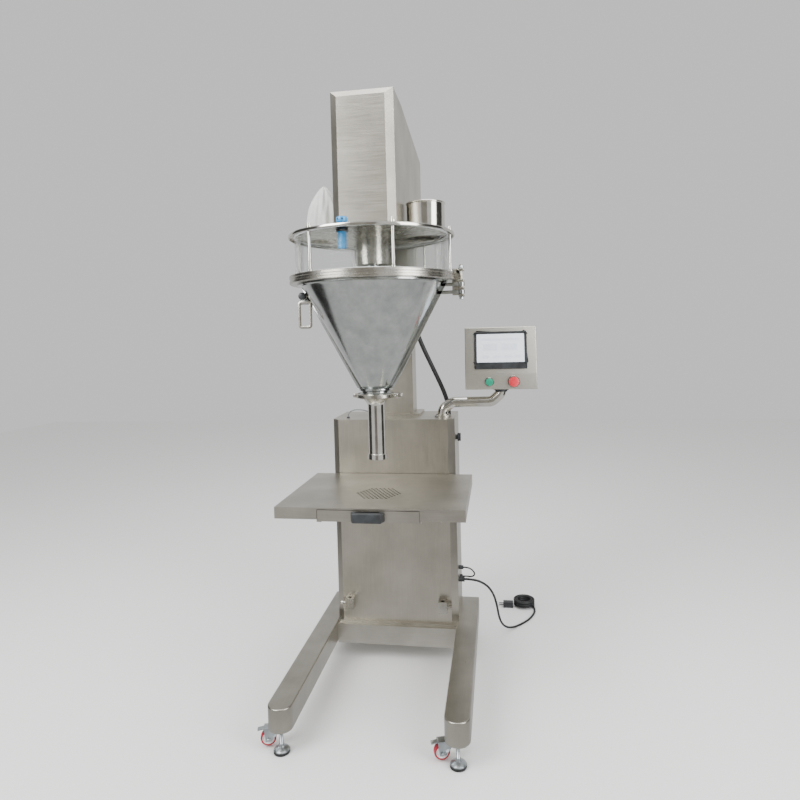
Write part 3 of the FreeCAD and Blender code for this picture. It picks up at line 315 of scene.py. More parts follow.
def soften(bm, width, segments=2, angle=35.0, verts=None):
    """Break the sharp edges of the mesh, or of the given vertices, by a round."""
    chosen = set(verts) if verts else None
    edges = [e for e in bm.edges if len(e.link_faces) == 2 and e.calc_face_angle(0) > math.radians(angle)
             and (chosen is None or all(v in chosen for v in e.verts))]
    bmesh.ops.bevel(bm, geom=edges, offset=width, offset_type="OFFSET", segments=segments, profile=0.5,
                    affect="EDGES", material=-1, clamp_overlap=True)


def hex_bolt(bm, cx, cy, cz, along, across=13.0, head=6.0, sign=1):
    """Hexagon head with its washer, standing on a face at cx, cy, cz."""
    place = turn_of(cx, cy, cz, along) @ Matrix.Diagonal((1, 1, sign, 1))
    lift = Matrix.Translation((0, 0, 0.75))
    bmesh.ops.create_cone(bm, cap_ends=True, segments=24, radius1=across * 0.62, radius2=across * 0.62,
                          depth=1.5, matrix=place @ lift)
    raise_head = Matrix.Translation((0, 0, 1.5 + head / 2))
    made = bmesh.ops.create_cone(bm, cap_ends=True, segments=6, radius1=across * 0.577, radius2=across * 0.577,
                                 depth=head, matrix=place @ raise_head)["verts"]
    soften(bm, 0.8, 1, verts=made)


def cap_screw(bm, cx, cy, cz, along, radius=4.0, head=2.2, sign=1):
    """Domed machine screw head with a hex socket."""
    place = turn_of(cx, cy, cz, along) @ Matrix.Diagonal((1, 1, sign, 1)) @ Matrix.Translation((0, 0, head / 2))
    made = bmesh.ops.create_cone(bm, cap_ends=True, segments=20, radius1=radius, radius2=radius * 0.8,
                                 depth=head, matrix=place)["verts"]
    tops = [f for f in {f for v in made for f in v.link_faces} if len(f.verts) == 20]
    outer = max(tops, key=lambda f: sign * f.calc_center_median().dot(place.to_3x3() @ Vector((0, 0, sign))))
    inner = bmesh.ops.inset_individual(bm, faces=[outer], thickness=radius * 0.38)
    sink = (place.to_3x3() @ Vector((0, 0, -1))).normalized() * 1.1
    bmesh.ops.translate(bm, vec=sink, verts=list(outer.verts))


def piece(name, bm, finish, body, replaces=(), smooth=32.0, merge=True):
    """Turn a millimetre bmesh into a finished object that rides on a body."""
    if merge:
        bmesh.ops.remove_doubles(bm, verts=bm.verts, dist=1e-4)
    bmesh.ops.recalc_face_normals(bm, faces=bm.faces)
    place = Matrix.Translation(at(0, 0, 0)) @ Matrix.Scale(MM, 4)
    bmesh.ops.transform(bm, matrix=place, verts=bm.verts)
    mesh = bpy.data.meshes.new(name)
    bm.to_mesh(mesh)
    bm.free()
    mesh.materials.append(finish)
    for polygon in mesh.polygons:
        polygon.use_smooth = True
    mesh.set_sharp_from_angle(angle=math.radians(smooth))
    obj = bpy.data.objects.new(name, mesh)
    bpy.context.scene.collection.objects.link(obj)
    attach(obj, body)
    if replaces:
        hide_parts(*replaces)
    return obj


def routed_tube(name, route, radius, finish, body, corner=30.0, sides=24, replaces=()):
    """Rigid bent tube: straight runs joined by arcs of one bend radius."""
    data = bpy.data.curves.new(name, "CURVE")
    data.dimensions = "3D"
    line = data.splines.new("BEZIER")
    points = bent_points([Vector(p) for p in route], corner)
    line.bezier_points.add(len(points) - 1)
    for knot, (here, back, ahead) in zip(line.bezier_points, points):
        knot.co, knot.handle_left, knot.handle_right = here, back, ahead
        knot.handle_left_type = knot.handle_right_type = "FREE"
    line.resolution_u = 14
    data.bevel_depth, data.bevel_resolution = radius, sides // 4
    data.use_fill_caps = True
    holder = bpy.data.objects.new(name + "_route", data)
    bpy.context.scene.collection.objects.link(holder)
    bpy.context.view_layer.update()
    mesh = bpy.data.meshes.new_from_object(holder.evaluated_get(bpy.context.evaluated_depsgraph_get()))
    bpy.data.objects.remove(holder)
    bm = bmesh.new()
    bm.from_mesh(mesh)
    bpy.data.meshes.remove(mesh)
    return piece(name, bm, finish, body, replaces)


def bent_points(route, corner):
    """Bezier knots of a route whose corners are arcs of the given radius."""
    knots = [(route[0], route[0], route[0].lerp(route[1], 0.2))]
    for before, here, after in zip(route, route[1:], route[2:]):
        back, ahead = (before - here).normalized(), (after - here).normalized()
        turn = math.pi - back.angle(ahead)
        reach = corner * math.tan(turn / 2)
        pull = corner * 4 / 3 * math.tan(turn / 4)
        start, stop = here + back * reach, here + ahead * reach
        knots.append((start, start + back * pull * 0.3, start - back * pull))
        knots.append((stop, stop - ahead * pull, stop + ahead * pull * 0.3))
    knots.append((route[-1], route[-1].lerp(route[-2], 0.2), route[-1]))
    return knots


# ---- hopper --------------------------------------------------------------
AXIS_Y = (AXIS.y - BAR_FRONT) / MM
CONE_LOW, CONE_TOP, RING_TOP = 1124.0, 1484.0, 1512.0
CONE_R_LOW, CONE_R_HIGH = 48.0, 242.0
WALL = 2.0
FERRULE = 1100.0
SPOUT_END = SPOUT_LOW.z / MM
LID_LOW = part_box("clear_cylinder")[1].z / MM
LID_TOP = LID_LOW + 4.0
SEAM_W, SEAM_T = 18.0, 4.0
HINGE_X = 304.0
KNUCKLES, EARS = (1440.0, 1466.0), (1430.0, 1453.5, 1479.5, 1516.0)
STAND_OFF = 0.3


def cone_radius(z):
    return CONE_R_LOW + (z - CONE_LOW) * (CONE_R_HIGH - CONE_R_LOW) / (CONE_TOP - CONE_LOW)


def cone_half(front):
    """Half of the spun cone with its turned-out lip and the two seam strips."""
    bm = bmesh.new()
    low = CONE_LOW + (1.2 if front else 0.0)
    top = CONE_TOP - 0.4
    bottom_r = cone_radius(low)
    profile = [(bottom_r - WALL, low), (bottom_r, low), (CONE_R_HIGH - 5, top - 13), (CONE_R_HIGH, top - 6),
               (CONE_R_HIGH + 6, top - 4), (CONE_R_HIGH + 16, top - 4), (CONE_R_HIGH + 16, top),
               (CONE_R_HIGH - WALL, top)]
    gap = 0.12
    lathe(bm, profile, 0, AXIS_Y, start=180.0 + gap if front else gap, sweep=180.0 - 2 * gap, steps=96)
    caps = [e for e in bm.edges if e.is_boundary]
    bmesh.ops.edgeloop_fill(bm, edges=caps)
    y0, y1 = (AXIS_Y - SEAM_T, AXIS_Y - 0.2) if front else (AXIS_Y + 0.2, AXIS_Y + SEAM_T)
    for side in (-1, 1):
        strip = slab(bm, side * 20 - 1, side * 20 + 1, y0, y1, low, top - 4)
        for vert in strip:
            outer = (vert.co.x - side * 20) * side > 0
            vert.co.x = side * (cone_radius(vert.co.z) + (SEAM_W - WALL if outer else -WALL + 0.4))
        soften(bm, 0.7, 2, verts=strip)
    return bm


def front_half():
    bm = cone_half(True)
    y0, y1 = AXIS_Y - SEAM_T, AXIS_Y - 0.2
    plate = slab(bm, -262, -222, y0, y1, 1420, 1464)
    soften(bm, 4.0, 4, verts=plate)
    for low in KNUCKLES:
        leaf = slab(bm, cone_radius(low) + 2, HINGE_X - 4, y0, y1, low, low + 12)
        soften(bm, 0.8, 2, verts=leaf)
        lathe(bm, [(5.05, low), (11, low), (11, low + 12), (5.05, low + 12)], HINGE_X, AXIS_Y, steps=32)
    return piece("hopper_front_half_spun", bm, SPUN, "hopper_door", ["hopper_front_half"])


def rear_half():
    bm = cone_half(False)
    r = CONE_R_LOW
    lathe(bm, [(r - WALL, FERRULE), (r + 14, FERRULE), (r + 14, FERRULE + 3), (r + 12, FERRULE + 5),
               (r + 4, FERRULE + 7), (r + 2, FERRULE + 10), (r + 2, CONE_LOW - 9), (r + 4, CONE_LOW - 7),
               (r + 10, CONE_LOW - 6), (r + 10.5, CONE_LOW - 3), (r + 10, CONE_LOW + 0.4),
               (r - WALL, CONE_LOW + 0.4)], 0, AXIS_Y)
    return piece("hopper_rear_half_spun", bm, SPUN, "frame", ["hopper_rear_half"])


def carrier_ring():
    """Machined ring under the clear section with the hinge bracket welded on."""
    bm = bmesh.new()
    bore, rim, seat = 238.0, 284.0, 264.0
    ring = lathe(bm, [(bore, CONE_TOP), (rim - 2, CONE_TOP), (rim, CONE_TOP + 2), (rim, CONE_TOP + 9),
                      (rim - 1.5, CONE_TOP + 10.5), (rim - 1.5, RING_TOP - 10.5), (rim, RING_TOP - 9),
                      (rim, RING_TOP - 2), (rim - 2, RING_TOP), (seat, RING_TOP), (seat, RING_TOP - 10),
                      (seat - 12, RING_TOP - 10), (bore, CONE_TOP + 5)], 0, AXIS_Y, steps=144)
    back = AXIS_Y + 12
    bracket = slab(bm, rim - 12, HINGE_X + 6, back, back + 8, 1436, 1526)
    soften(bm, 2.0, 3, verts=bracket)
    for low in EARS:
        ear = slab(bm, HINGE_X - 10, HINGE_X + 10, AXIS_Y - 10, back + 5, low, low + 9)
        soften(bm, 2.5, 3, verts=ear)
    pin = drum(bm, 5, HINGE_X, AXIS_Y, 1422, 1538, sides=32)
    soften(bm, 1.0, 2, verts=pin)
    return piece("hopper_ring_machined", bm, SATIN, "frame", ["hopper_ring"])


def hinge_fasteners():
    """Nuts on the hinge pin's ends and the bolts through the bracket."""
    bm = bmesh.new()
    for z, sign in ((1525.5, 1), (1429.5, -1)):
        hex_bolt(bm, HINGE_X, AXIS_Y, z, "z", across=15, head=7, sign=sign)
    for z in (1446.0, 1516.0):
        hex_bolt(bm, HINGE_X - 10, AXIS_Y + 12, z, "y", across=11, head=5, sign=1)
    return piece("hinge_fasteners", bm, ZINC, "frame")


def clear_wall():
    bm = bmesh.new()
    outer = 263.0
    lathe(bm, [(outer - 5, RING_TOP - 10), (outer, RING_TOP - 10), (outer, LID_LOW - 0.2),
               (outer - 5, LID_LOW - 0.2)], 0, AXIS_Y, steps=144)
    return piece("clear_section_tube", bm, CLEAR, "frame", ["clear_cylinder"])


def seal_rings():
    """White silicone seals that the clear tube sits in, top and bottom."""
    bm = bmesh.new()
    for low, high in ((RING_TOP, RING_TOP + 3), (LID_LOW - 3, LID_LOW - 0.1)):
        lathe(bm, [(257.5, low), (265, low), (266, (low + high) / 2), (265, high), (257.5, high)], 0, AXIS_Y, steps=144)
    return piece("clear_section_seals", bm, WHITE_PA, "frame")


PORT = ((180.0, -200.0), 67.0, 118.0)
BAG = ((-178.0, -238.0), 64.0, 190.0)
SENSOR = ((-56.0, -470.0), 15.0)


def lid_rim():
    """Rolled edge of the sheet lid."""
    bm = bmesh.new()
    r = 282.0
    lathe(bm, [(r + 0.1, LID_LOW - 6), (r + 1.6, LID_LOW - 5), (r + 2.2, LID_LOW - 2), (r + 2.2, LID_LOW + 1),
               (r + 1.2, LID_LOW + 3.4), (r - 2, LID_LOW + 4.3), (r - 2, LID_LOW + 3.6), (r + 0.1, LID_LOW + 3)],
          0, AXIS_Y, steps=144)
    return piece("lid_rolled_rim", bm, BRIGHT, "frame")


def inlet():
    """Rolled tube port with a beaded mouth."""
    bm = bmesh.new()
    (cx, cy), r, height = PORT
    top = LID_TOP + height
    lathe(bm, [(r - 3, LID_TOP), (r + 4, LID_TOP), (r + 1, LID_TOP + 2.5), (r, LID_TOP + 5), (r, top - 7),
               (r + 2.6, top - 5), (r + 3, top - 2.6), (r + 1.6, top - 0.3), (r - 1.6, top - 0.3),
               (r - 3, top - 2)], cx, cy, steps=128)
    return piece("inlet_port_rolled", bm, BRIGHT, "frame", ["inlet_port"])


def breather():
    """Sewn filter sock drawn to a point: its cloth falls in soft upright folds."""
    bm = bmesh.new()
    (cx, cy), r, height = BAG
    shape = [(0.0, 1.0), (0.08, 1.0), (0.30, 0.985), (0.45, 0.95), (0.58, 0.88), (0.70, 0.74), (0.80, 0.58),
             (0.88, 0.42), (0.94, 0.27), (0.98, 0.14), (1.0, 0.045)]
    verts = []
    for step in range(57):
        t = step / 56
        low = max(i for i, (level, _) in enumerate(shape[:-1]) if level <= t + 1e-9)
        (t0, w0), (t1, w1) = shape[low], shape[low + 1]
        verts.append(bm.verts.new((r * (w0 + (w1 - w0) * (t - t0) / (t1 - t0)), 0, LID_TOP + 22 * 0 + t * height)))
    edges = [bm.edges.new(pair) for pair in zip(verts, verts[1:])]
    bmesh.ops.spin(bm, geom=verts + edges, cent=(0, 0, 0), axis=(0, 0, 1), angle=math.tau, steps=120, use_merge=True)
    for _ in range(2):
        bmesh.ops.smooth_vert(bm, verts=[v for v in bm.verts if not v.is_boundary], factor=0.5,
                              use_axis_x=True, use_axis_y=True, use_axis_z=True)
    top = LID_TOP + height
    for vert in bm.verts:
        flat = Vector((vert.co.x, vert.co.y, 0))
        if flat.length < 1e-6:
            continue
        t = (vert.co.z - LID_TOP) / height
        turn = math.atan2(flat.y, flat.x)
        sway = noise.noise(Vector((math.cos(turn) * 1.3, math.sin(turn) * 1.3, t * 1.6)))
        folds = math.cos(9 * turn + 2.2 * sway + 0.8 * t) + 0.45 * math.cos(17 * turn - 3 * sway)
        grow = math.sin(min(1.0, t / 0.55) * math.pi / 2)
        depth = 0.035 + 0.14 * grow * (1 - 0.4 * t)
        scale = 1 - depth * (0.5 - 0.5 * folds / 1.45) + 0.02 * sway * grow
        vert.co.x *= scale
        vert.co.y *= scale
        vert.co.x += 4.0 * grow * t * math.sin(2.4 * t)
        vert.co.z -= 3.0 * grow * (0.5 - 0.5 * folds / 1.45) * t
    tip = [e for e in bm.edges if e.is_boundary and e.verts[0].co.z > top - 30]
    bmesh.ops.edgeloop_fill(bm, edges=tip)
    bmesh.ops.translate(bm, vec=(cx, cy, 0.3), verts=bm.verts)
    sock = piece("breather_sock", bm, CLOTH, "frame", ["breather_bag"], smooth=80)
    return sock


def breather_band():
    """Hose band and stitched hem round the foot of the sock."""
    bm = bmesh.new()
    (cx, cy), r, _ = BAG
    lathe(bm, [(r - 1.2, LID_TOP + 9), (r + 0.2, LID_TOP + 9), (r + 0.6, LID_TOP + 10), (r + 0.6, LID_TOP + 17),
               (r + 0.2, LID_TOP + 18), (r - 1.2, LID_TOP + 18)], cx, cy)
    screw = slab(bm, cx - 9, cx + 9, cy - r - 7, cy - r + 1, LID_TOP + 8, LID_TOP + 19)
    soften(bm, 1.5, 2, verts=screw)
    return piece("breather_band", bm, BRIGHT, "frame")


def level_probe():
    """Capacitive level sensor: moulded cap over a threaded body and two nuts."""
    bm = bmesh.new()
    (cx, cy), r = SENSOR
    z = LID_TOP
    lathe(bm, [(0.5, z - 66), (r - 3, z - 66), (r - 1.2, z - 64), (r - 1.2, z + 16), (r + 2.4, z + 18.5),
               (r + 3, z + 20), (r + 3, z + 31), (r + 1.5, z + 33.8), (r - 5, z + 34), (0.5, z + 34)], cx, cy, steps=64)
    return piece("level_sensor_body", bm, BLUE_ABS, "frame", ["level_sensor"])


def level_probe_trim():
    """Dark lock nuts and the cap's two teaching screws."""
    bm = bmesh.new()
    (cx, cy), r = SENSOR
    for low in (LID_TOP + 0.2, LID_TOP - 13):
        nut = drum(bm, r + 6, cx, cy, low, low + 8, sides=6)
        soften(bm, 1.0, 2, verts=nut)
    for turn in (-115, -75):
        x = cx + (r + 3) * math.cos(math.radians(turn))
        y = cy + (r + 3) * math.sin(math.radians(turn))
        cap_screw(bm, x, y + 0.3, LID_TOP + 26, "y", radius=3.2, head=1.4, sign=-1)
    return piece("level_sensor_nuts", bm, BLACK_ABS, "frame")


def tie_rod_set():
    """Six tie rods standing up past the lid, each with a hex nut."""
    bm = bmesh.new()
    for step in range(6):
        turn = math.radians(-5 + 60 * step)
        x, y = 271 * math.cos(turn), AXIS_Y + 271 * math.sin(turn)
        lathe(bm, [(0.3, RING_TOP), (8, RING_TOP), (8, RING_TOP + 6), (5, RING_TOP + 8), (5, LID_TOP + 15),
                   (4.2, LID_TOP + 16), (0.3, LID_TOP + 16)], x, y, steps=28)
        nut = drum(bm, 8.6, x, y, LID_TOP + 0.2, LID_TOP + 7, sides=6)
        soften(bm, 0.7, 1, verts=nut)
    return piece("tie_rod_set", bm, BRIGHT, "frame", ["tie_rods"])


def latch_pieces():
    bm = bmesh.new()
    x, z, face_y = -246.0, 1449.0, AXIS_Y - SEAM_T
    verts = lathe(bm, [(0.3, 16), (9, 16), (11.5, 17.4), (13, 20), (13, 30), (12, 32.6), (9, 33.8), (0.3, 33.8)],
                  0, 0, steps=48)
    bmesh.ops.transform(bm, matrix=turn_of(x, face_y, z, "y") @ Matrix.Rotation(math.pi, 4, "X"), verts=verts)
    for vert in verts:
        angle = math.atan2(vert.co.z - z, vert.co.x - x)
        radial = Vector((vert.co.x - x, 0, vert.co.z - z))
        if radial.length > 11:
            vert.co -= radial.normalized() * (0.5 + 0.5 * math.cos(12 * angle)) * 0.9
    knob = piece("latch_knob", bm, BLACK_ABS, "latch", ["latch_bolt"])
    bm = bmesh.new()
    drum(bm, 8, x, z, face_y - 16, face_y - 0.4, "y", sides=32)
    washer = drum(bm, 10.5, x, z, face_y - 3.4, face_y - 0.4, "y", sides=40)
    soften(bm, 0.6, 1, verts=washer)
    stem = piece("latch_stem", bm, BRIGHT, "latch")
    return knob, stem


def pull_loop():
    """Flat bar bent into a rectangular hand loop, welded to the left seam."""
    bm = bmesh.new()
    x0, x1, z0, z1 = -269.0, -219.0, 1336.0, 1434.0
    y1 = AXIS_Y - SEAM_T
    plate = slab(bm, x0, x1, y1 - 6, y1, z0, z1)
    upright = [e for e in bm.edges if abs(e.verts[0].co.y - e.verts[1].co.y) > 5]
    bmesh.ops.bevel(bm, geom=upright, offset=13, offset_type="OFFSET", segments=8, profile=0.5, affect="EDGES",
                    material=-1)
    faces = [f for f in bm.faces if abs(f.normal.y) > 0.9]
    inset = bmesh.ops.inset_individual(bm, faces=faces, thickness=10.0, use_even_offset=True)
    loops = [e for f in faces for e in f.edges]
    bmesh.ops.delete(bm, geom=faces, context="FACES_ONLY")
    bmesh.ops.bridge_loops(bm, edges=[e for e in loops if e.is_valid])
    soften(bm, 1.4, 2)
    return piece("pull_handle_loop", bm, SATIN, "hopper_door", ["pull_handle"])


def spout():
    bm = bmesh.new()
    r, bore, top = 30.0, 28.0, FERRULE - 1
    big = CONE_R_LOW + 14
    lathe(bm, [(bore, SPOUT_END), (r + 2.2, SPOUT_END), (r + 3, SPOUT_END + 1), (r + 3, SPOUT_END + 19),
               (r + 2.2, SPOUT_END + 20), (r, SPOUT_END + 20.4), (r, top - 34), (r + 1.5, top - 28),
               (CONE_R_LOW - 5, top - 11), (CONE_R_LOW, top - 8), (big, top - 4), (big, top), (CONE_R_LOW - WALL, top),
               (CONE_R_LOW - WALL - 4, top - 8), (bore, top - 28)], 0, AXIS_Y, steps=96)
    return piece("spout_drawn_tube", bm, BRIGHT, "frame", ["spout_tube"])


def clamp():
    """Two-piece cast clamp round the ferrules."""
    bm = bmesh.new()
    r_in, r_out = CONE_R_LOW + 14, 68.0
    z0, z1 = FERRULE - 9, FERRULE + 7
    lathe(bm, [(r_in, z0), (r_out - 3, z0), (r_out, z0 + 3), (r_out, z1 - 3), (r_out - 3, z1), (r_in, z1)], 0, AXIS_Y)
    lug = slab(bm, -r_out - 12, -r_out + 4, AXIS_Y - 8, AXIS_Y + 8, z0 + 1, z1 - 1)
    soften(bm, 3.0, 3, verts=lug)
    for side in (-1, 1):
        ear = slab(bm, r_out - 4, r_out + 24, AXIS_Y + side * 9 - 4, AXIS_Y + side * 9 + 4, z0 + 1, z1 - 1)
        soften(bm, 2.2, 3, verts=ear)
    drum(bm, 4, r_out + 16.5, FERRULE - 1, AXIS_Y - 34, AXIS_Y + 13, "y", sides=24)
    hex_bolt(bm, r_out + 16.5, AXIS_Y + 13, FERRULE - 1, "y", across=11, head=4, sign=1)
    return piece("spout_clamp_cast", bm, SATIN, "frame", ["spout_clamp"])


def wing():
    """Stamped wing nut on the clamp's bolt."""
    bm = bmesh.new()
    x, z = 84.5, FERRULE - 1
    y0 = AXIS_Y - 13.4
    for side in (-1, 1):
        blade = slab(bm, x + side * 6, x + side * 14, y0 - 21, y0 - 4, z - 2, z + 2)
        for vert in blade:
            if vert.co.y < y0 - 12:
                vert.co.x += side * 3
        soften(bm, 1.9, 3, verts=blade)
    lathe_hub = drum(bm, 8, x, z, y0 - 14, y0, "y", top=6.5, sides=32)
    soften(bm, 0.8, 2, verts=lathe_hub)
    return piece("wing_nut_stamped", bm, BRIGHT, "wing_nut", ["wing_nut"])


for make in (front_half, rear_half, carrier_ring, hinge_fasteners, clear_wall, seal_rings, lid_rim, inlet, breather,
             breather_band, level_probe, level_probe_trim, tie_rod_set, latch_pieces, pull_loop, spout, clamp, wing):
    make()


# ---- cords ---------------------------------------------------------------
def cable(name, route, radius, finish, body, nodes, **facts):
    """One smooth spline along a given route."""
    points = [at(*p) for p in route]
    data = bpy.data.curves.new(name, "CURVE")
    data.dimensions = "3D"
    line = data.splines.new("NURBS")
    line.points.add(len(points) - 1)
    for knot, place in zip(line.points, points):
        knot.co = (*place, 1.0)
    line.order_u = 3
    line.use_endpoint_u = True
    line.resolution_u = 10
    data.bevel_depth, data.bevel_resolution = radius * MM, 5
    data.use_fill_caps = True
    data.materials.append(finish)
    obj = bpy.data.objects.new(name, data)
    bpy.context.scene.collection.objects.link(obj)
    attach(obj, body)
    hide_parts(*nodes)
    return obj


HOSE_ROUTE = [(62, 100, 1575), (62, 102, 1500), (70, 108, 1420), (88, 120, 1340), (114, 136, 1262),
              (146, 154, 1186), (178, 170, 1112), (202, 184, 1050), (213, 190, 1000), (213, 190, 971)]
WIRE_ROUTE = [(-190, 78, 976), (-190, 78, 990), (-175, 85, 1002), (-150, 96, 1004),
              (-126, 108, 998), (-106, 120, 990), (-88, 128.5, 985)]
SIDE_ROUTE = [(264, 118, 352), (280, 118, 352), (297, 123, 343), (308, 136, 324), (306, 156, 304),
              (291, 173, 292), (273, 182, 290), (256, 182, 290)]
CORD_ROUTE = [(268, 118, 303), (296, 118, 303), (330, 122, 295), (364, 132, 270), (386, 150, 226),
              (396, 176, 172), (402, 210, 116), (412, 250, 66), (432, 292, 28), (462, 334, 8),
              (498, 376, 4.5), (532, 420, 4.5), (556, 470, 4.5), (568, 522, 4.5)]
CORD_R = 4.5
COIL_CENTRE = (520.0, 577.0)


def coil_turns():
    """The put-away length: an outer wall of turns climbs, and an inner one comes back down."""
    points = []
    per_turn, layers = 16, 4
    outer, inner = 45.6, 35.6
    pitch = 2 * CORD_R
    first = math.radians(-22)
    steps = layers * per_turn - 4
    for step in range(2 * steps):
        climbing = step < steps
        level = step / per_turn if climbing else (2 * steps - 1 - step) / per_turn
        radius = outer if climbing else inner
        turn = first + math.tau * step / per_turn
        points.append((COIL_CENTRE[0] + radius * math.cos(turn), COIL_CENTRE[1] + radius * math.sin(turn),
                       CORD_R + pitch * min(level, layers - 1)))
    return points


conduit = cable("corrugated_hose", HOSE_ROUTE, 9.0, BLACK_PVC, "frame", ["conduit_hose"],
                length=0.637, far_end="object", stiffness="stiff", lay="hanging")
cable("sensor_lead", WIRE_ROUTE, 2.5, GREY_PVC, "frame", ["sensor_wire"],
      length=0.133, far_end="object", stiffness="medium", lay="loose")
cable("side_link_cable", SIDE_ROUTE, 3.0, BLACK_PVC, "frame", ["side_cable"],
      length=0.150, far_end="object", stiffness="medium", lay="loose")
cable("mains_cord", CORD_ROUTE + coil_turns(), CORD_R, BLACK_PVC, "frame", ["power_cord", "cord_coil"],
      length=2.7, far_end="plug", stiffness="medium", lay="coiled", with_pieces=["power_plug"])


# ---- table, rods and drawer ----------------------------------------------
TABLE_TOP, TABLE_HALF, TABLE_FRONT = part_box("table_top")[1].z / MM, 312.0, -468.0
DRAWER_LOW, DRAWER_HIGH, DRAWER_HALF = 711.0, 748.0, 166.0


def bridge_handle():
    """Moulded bridge handle: flat grip, slanting ends and two screwed feet."""
    bm = bmesh.new()
    z0, z1 = DRAWER_LOW + 3, DRAWER_HIGH - 3
    face_y = TABLE_FRONT
    verts = slab(bm, -56, 56, face_y - 26, face_y - 0.2, z0, z1)
    bmesh.ops.bisect_plane(bm, geom=bm.verts[:] + bm.edges[:] + bm.faces[:], plane_co=(-41, 0, 0), plane_no=(1, 0, 0))
    bmesh.ops.bisect_plane(bm, geom=bm.verts[:] + bm.edges[:] + bm.faces[:], plane_co=(41, 0, 0), plane_no=(1, 0, 0))
    back = [f for f in bm.faces if f.normal.y > 0.9 and abs(f.calc_center_median().x) < 20]
    lift = bmesh.ops.extrude_face_region(bm, geom=back)
    moved = [v for v in lift["geom"] if isinstance(v, bmesh.types.BMVert)]
    bmesh.ops.translate(bm, vec=(0, -13, 0), verts=moved)
    bmesh.ops.delete(bm, geom=back, context="FACES")
    for vert in bm.verts:
        front = vert.co.y < face_y - 20
        if front and abs(vert.co.x) > 50:
            vert.co.x *= 47.0 / 56.0
    soften(bm, 3.2, 4, angle=25)
    return piece("drawer_bridge_handle", bm, BLACK_ABS, "drawer", ["drawer_handle"])


def collars_and_screws():
    """Turned collars on the table's rods."""
    bm = bmesh.new()
    for side in (-1, 1):
        x, y = side * 187.0, 8.0
        for low, high in ((690 - 26, 690 - 14), (690 + 14, 690 + 20)):
            lathe(bm, [(7.1, low), (13, low), (14, low + 1), (14, high - 1), (13, high), (7.1, high)], x, y, steps=40)
    return piece("rod_collars", bm, BRIGHT, "frame")


# ---- console -------------------------------------------------------------
PANEL_X, PANEL_HALF, PANEL_LOW, PANEL_FOLD, PANEL_HIGH = 431.0, 139.0, 1083.0, 1145.0, 1327.0
PANEL_FRONT, PANEL_TILT, PANEL_REAR = 60.0, 30.0, 150.0
BEZEL_W, BEZEL_H = 204.0, 148.0
PANEL_LEAN = math.atan2(PANEL_TILT, PANEL_HIGH - PANEL_FOLD)


def on_slope(bm, verts):
    """Stand pieces made about the origin on the middle of the sloping face."""
    turn = Matrix.Rotation(-PANEL_LEAN, 4, "X")
    place = Matrix.Translation((PANEL_X, PANEL_FRONT + PANEL_TILT / 2, (PANEL_FOLD + PANEL_HIGH) / 2))
    bmesh.ops.transform(bm, matrix=place @ turn, verts=verts)


def bezel():
    """Moulded bezel, deeper along its lower edge, with a raised lip."""
    bm = bmesh.new()
    frame_verts = slab(bm, -BEZEL_W / 2, BEZEL_W / 2, -5, -0.4, -BEZEL_H / 2, BEZEL_H / 2)
    upright = [e for e in bm.edges if abs(e.verts[0].co.y - e.verts[1].co.y) > 3]
    bmesh.ops.bevel(bm, geom=upright, offset=5, offset_type="OFFSET", segments=5, profile=0.5, affect="EDGES",
                    material=-1)
    front = [f for f in bm.faces if f.normal.y < -0.9][0]
    bmesh.ops.inset_individual(bm, faces=[front], thickness=1.6, depth=1.0, use_even_offset=True)
    bmesh.ops.inset_individual(bm, faces=[front], thickness=8.0, use_even_offset=True)
    for vert in front.verts:
        if vert.co.z < 0:
            vert.co.z += 16
    bmesh.ops.inset_individual(bm, faces=[front], thickness=0.8, depth=-1.6, use_even_offset=True)
    on_slope(bm, bm.verts)
    return piece("screen_bezel", bm, BLACK_ABS, "panel", ["display_screen"], smooth=25)


def touch_glass():
    """Switched-on resistive screen: pale panel with faint bare tiles, no words."""
    mat, tree, shader = new_material("touch_screen_film_lit")
    coords = add(tree, "ShaderNodeTexCoord").outputs["Object"]
    parts = add(tree, "ShaderNodeSeparateXYZ", links={"Vector": coords})
    centre = at(PANEL_X, 0, (PANEL_FOLD + PANEL_HIGH) / 2)
    masks = []
    tiles = [(-58, -26, 30, 12, 0), (-14, -26, 30, 12, 0), (30, -26, 30, 12, 0), (66, -26, 26, 12, 0),
             (-40, 12, 56, 26, 1), (34, 12, 62, 26, 1), (0, 42, 150, 9, 0)]
    for x, z, wide, high, _ in tiles:
        checks = []
        for axis, middle, size in (("X", centre.x + x * MM, wide), ("Z", centre.z + z * MM, high)):
            off = add(tree, "ShaderNodeMath", {"operation": "SUBTRACT", 1: middle})
            tree.links.new(parts.outputs[axis], off.inputs[0])
            away = add(tree, "ShaderNodeMath", {"operation": "ABSOLUTE"})
            tree.links.new(off.outputs["Value"], away.inputs[0])
            within = add(tree, "ShaderNodeMath", {"operation": "LESS_THAN", 1: size / 2 * MM})
            tree.links.new(away.outputs["Value"], within.inputs[0])
            checks.append(within.outputs["Value"])
        both = add(tree, "ShaderNodeMath", {"operation": "MULTIPLY"})
        tree.links.new(checks[0], both.inputs[0])
        tree.links.new(checks[1], both.inputs[1])
        masks.append(both.outputs["Value"])
    total = masks[0]
    for mask in masks[1:]:
        joined = add(tree, "ShaderNodeMath", {"operation": "ADD"})
        tree.links.new(total, joined.inputs[0])
        tree.links.new(mask, joined.inputs[1])
        total = joined.outputs["Value"]
    tone = ramp(tree, total, [(0.0, linear("#eef3fc")), (1.0, linear("#dfe6f1"))])
    tree.links.new(tone, shader.inputs["Base Color"])
    tree.links.new(tone, shader.inputs["Emission Color"])
    shader.inputs["Emission Strength"].default_value = 0.35
    shader.inputs["Roughness"].default_value = 0.25
    return mat


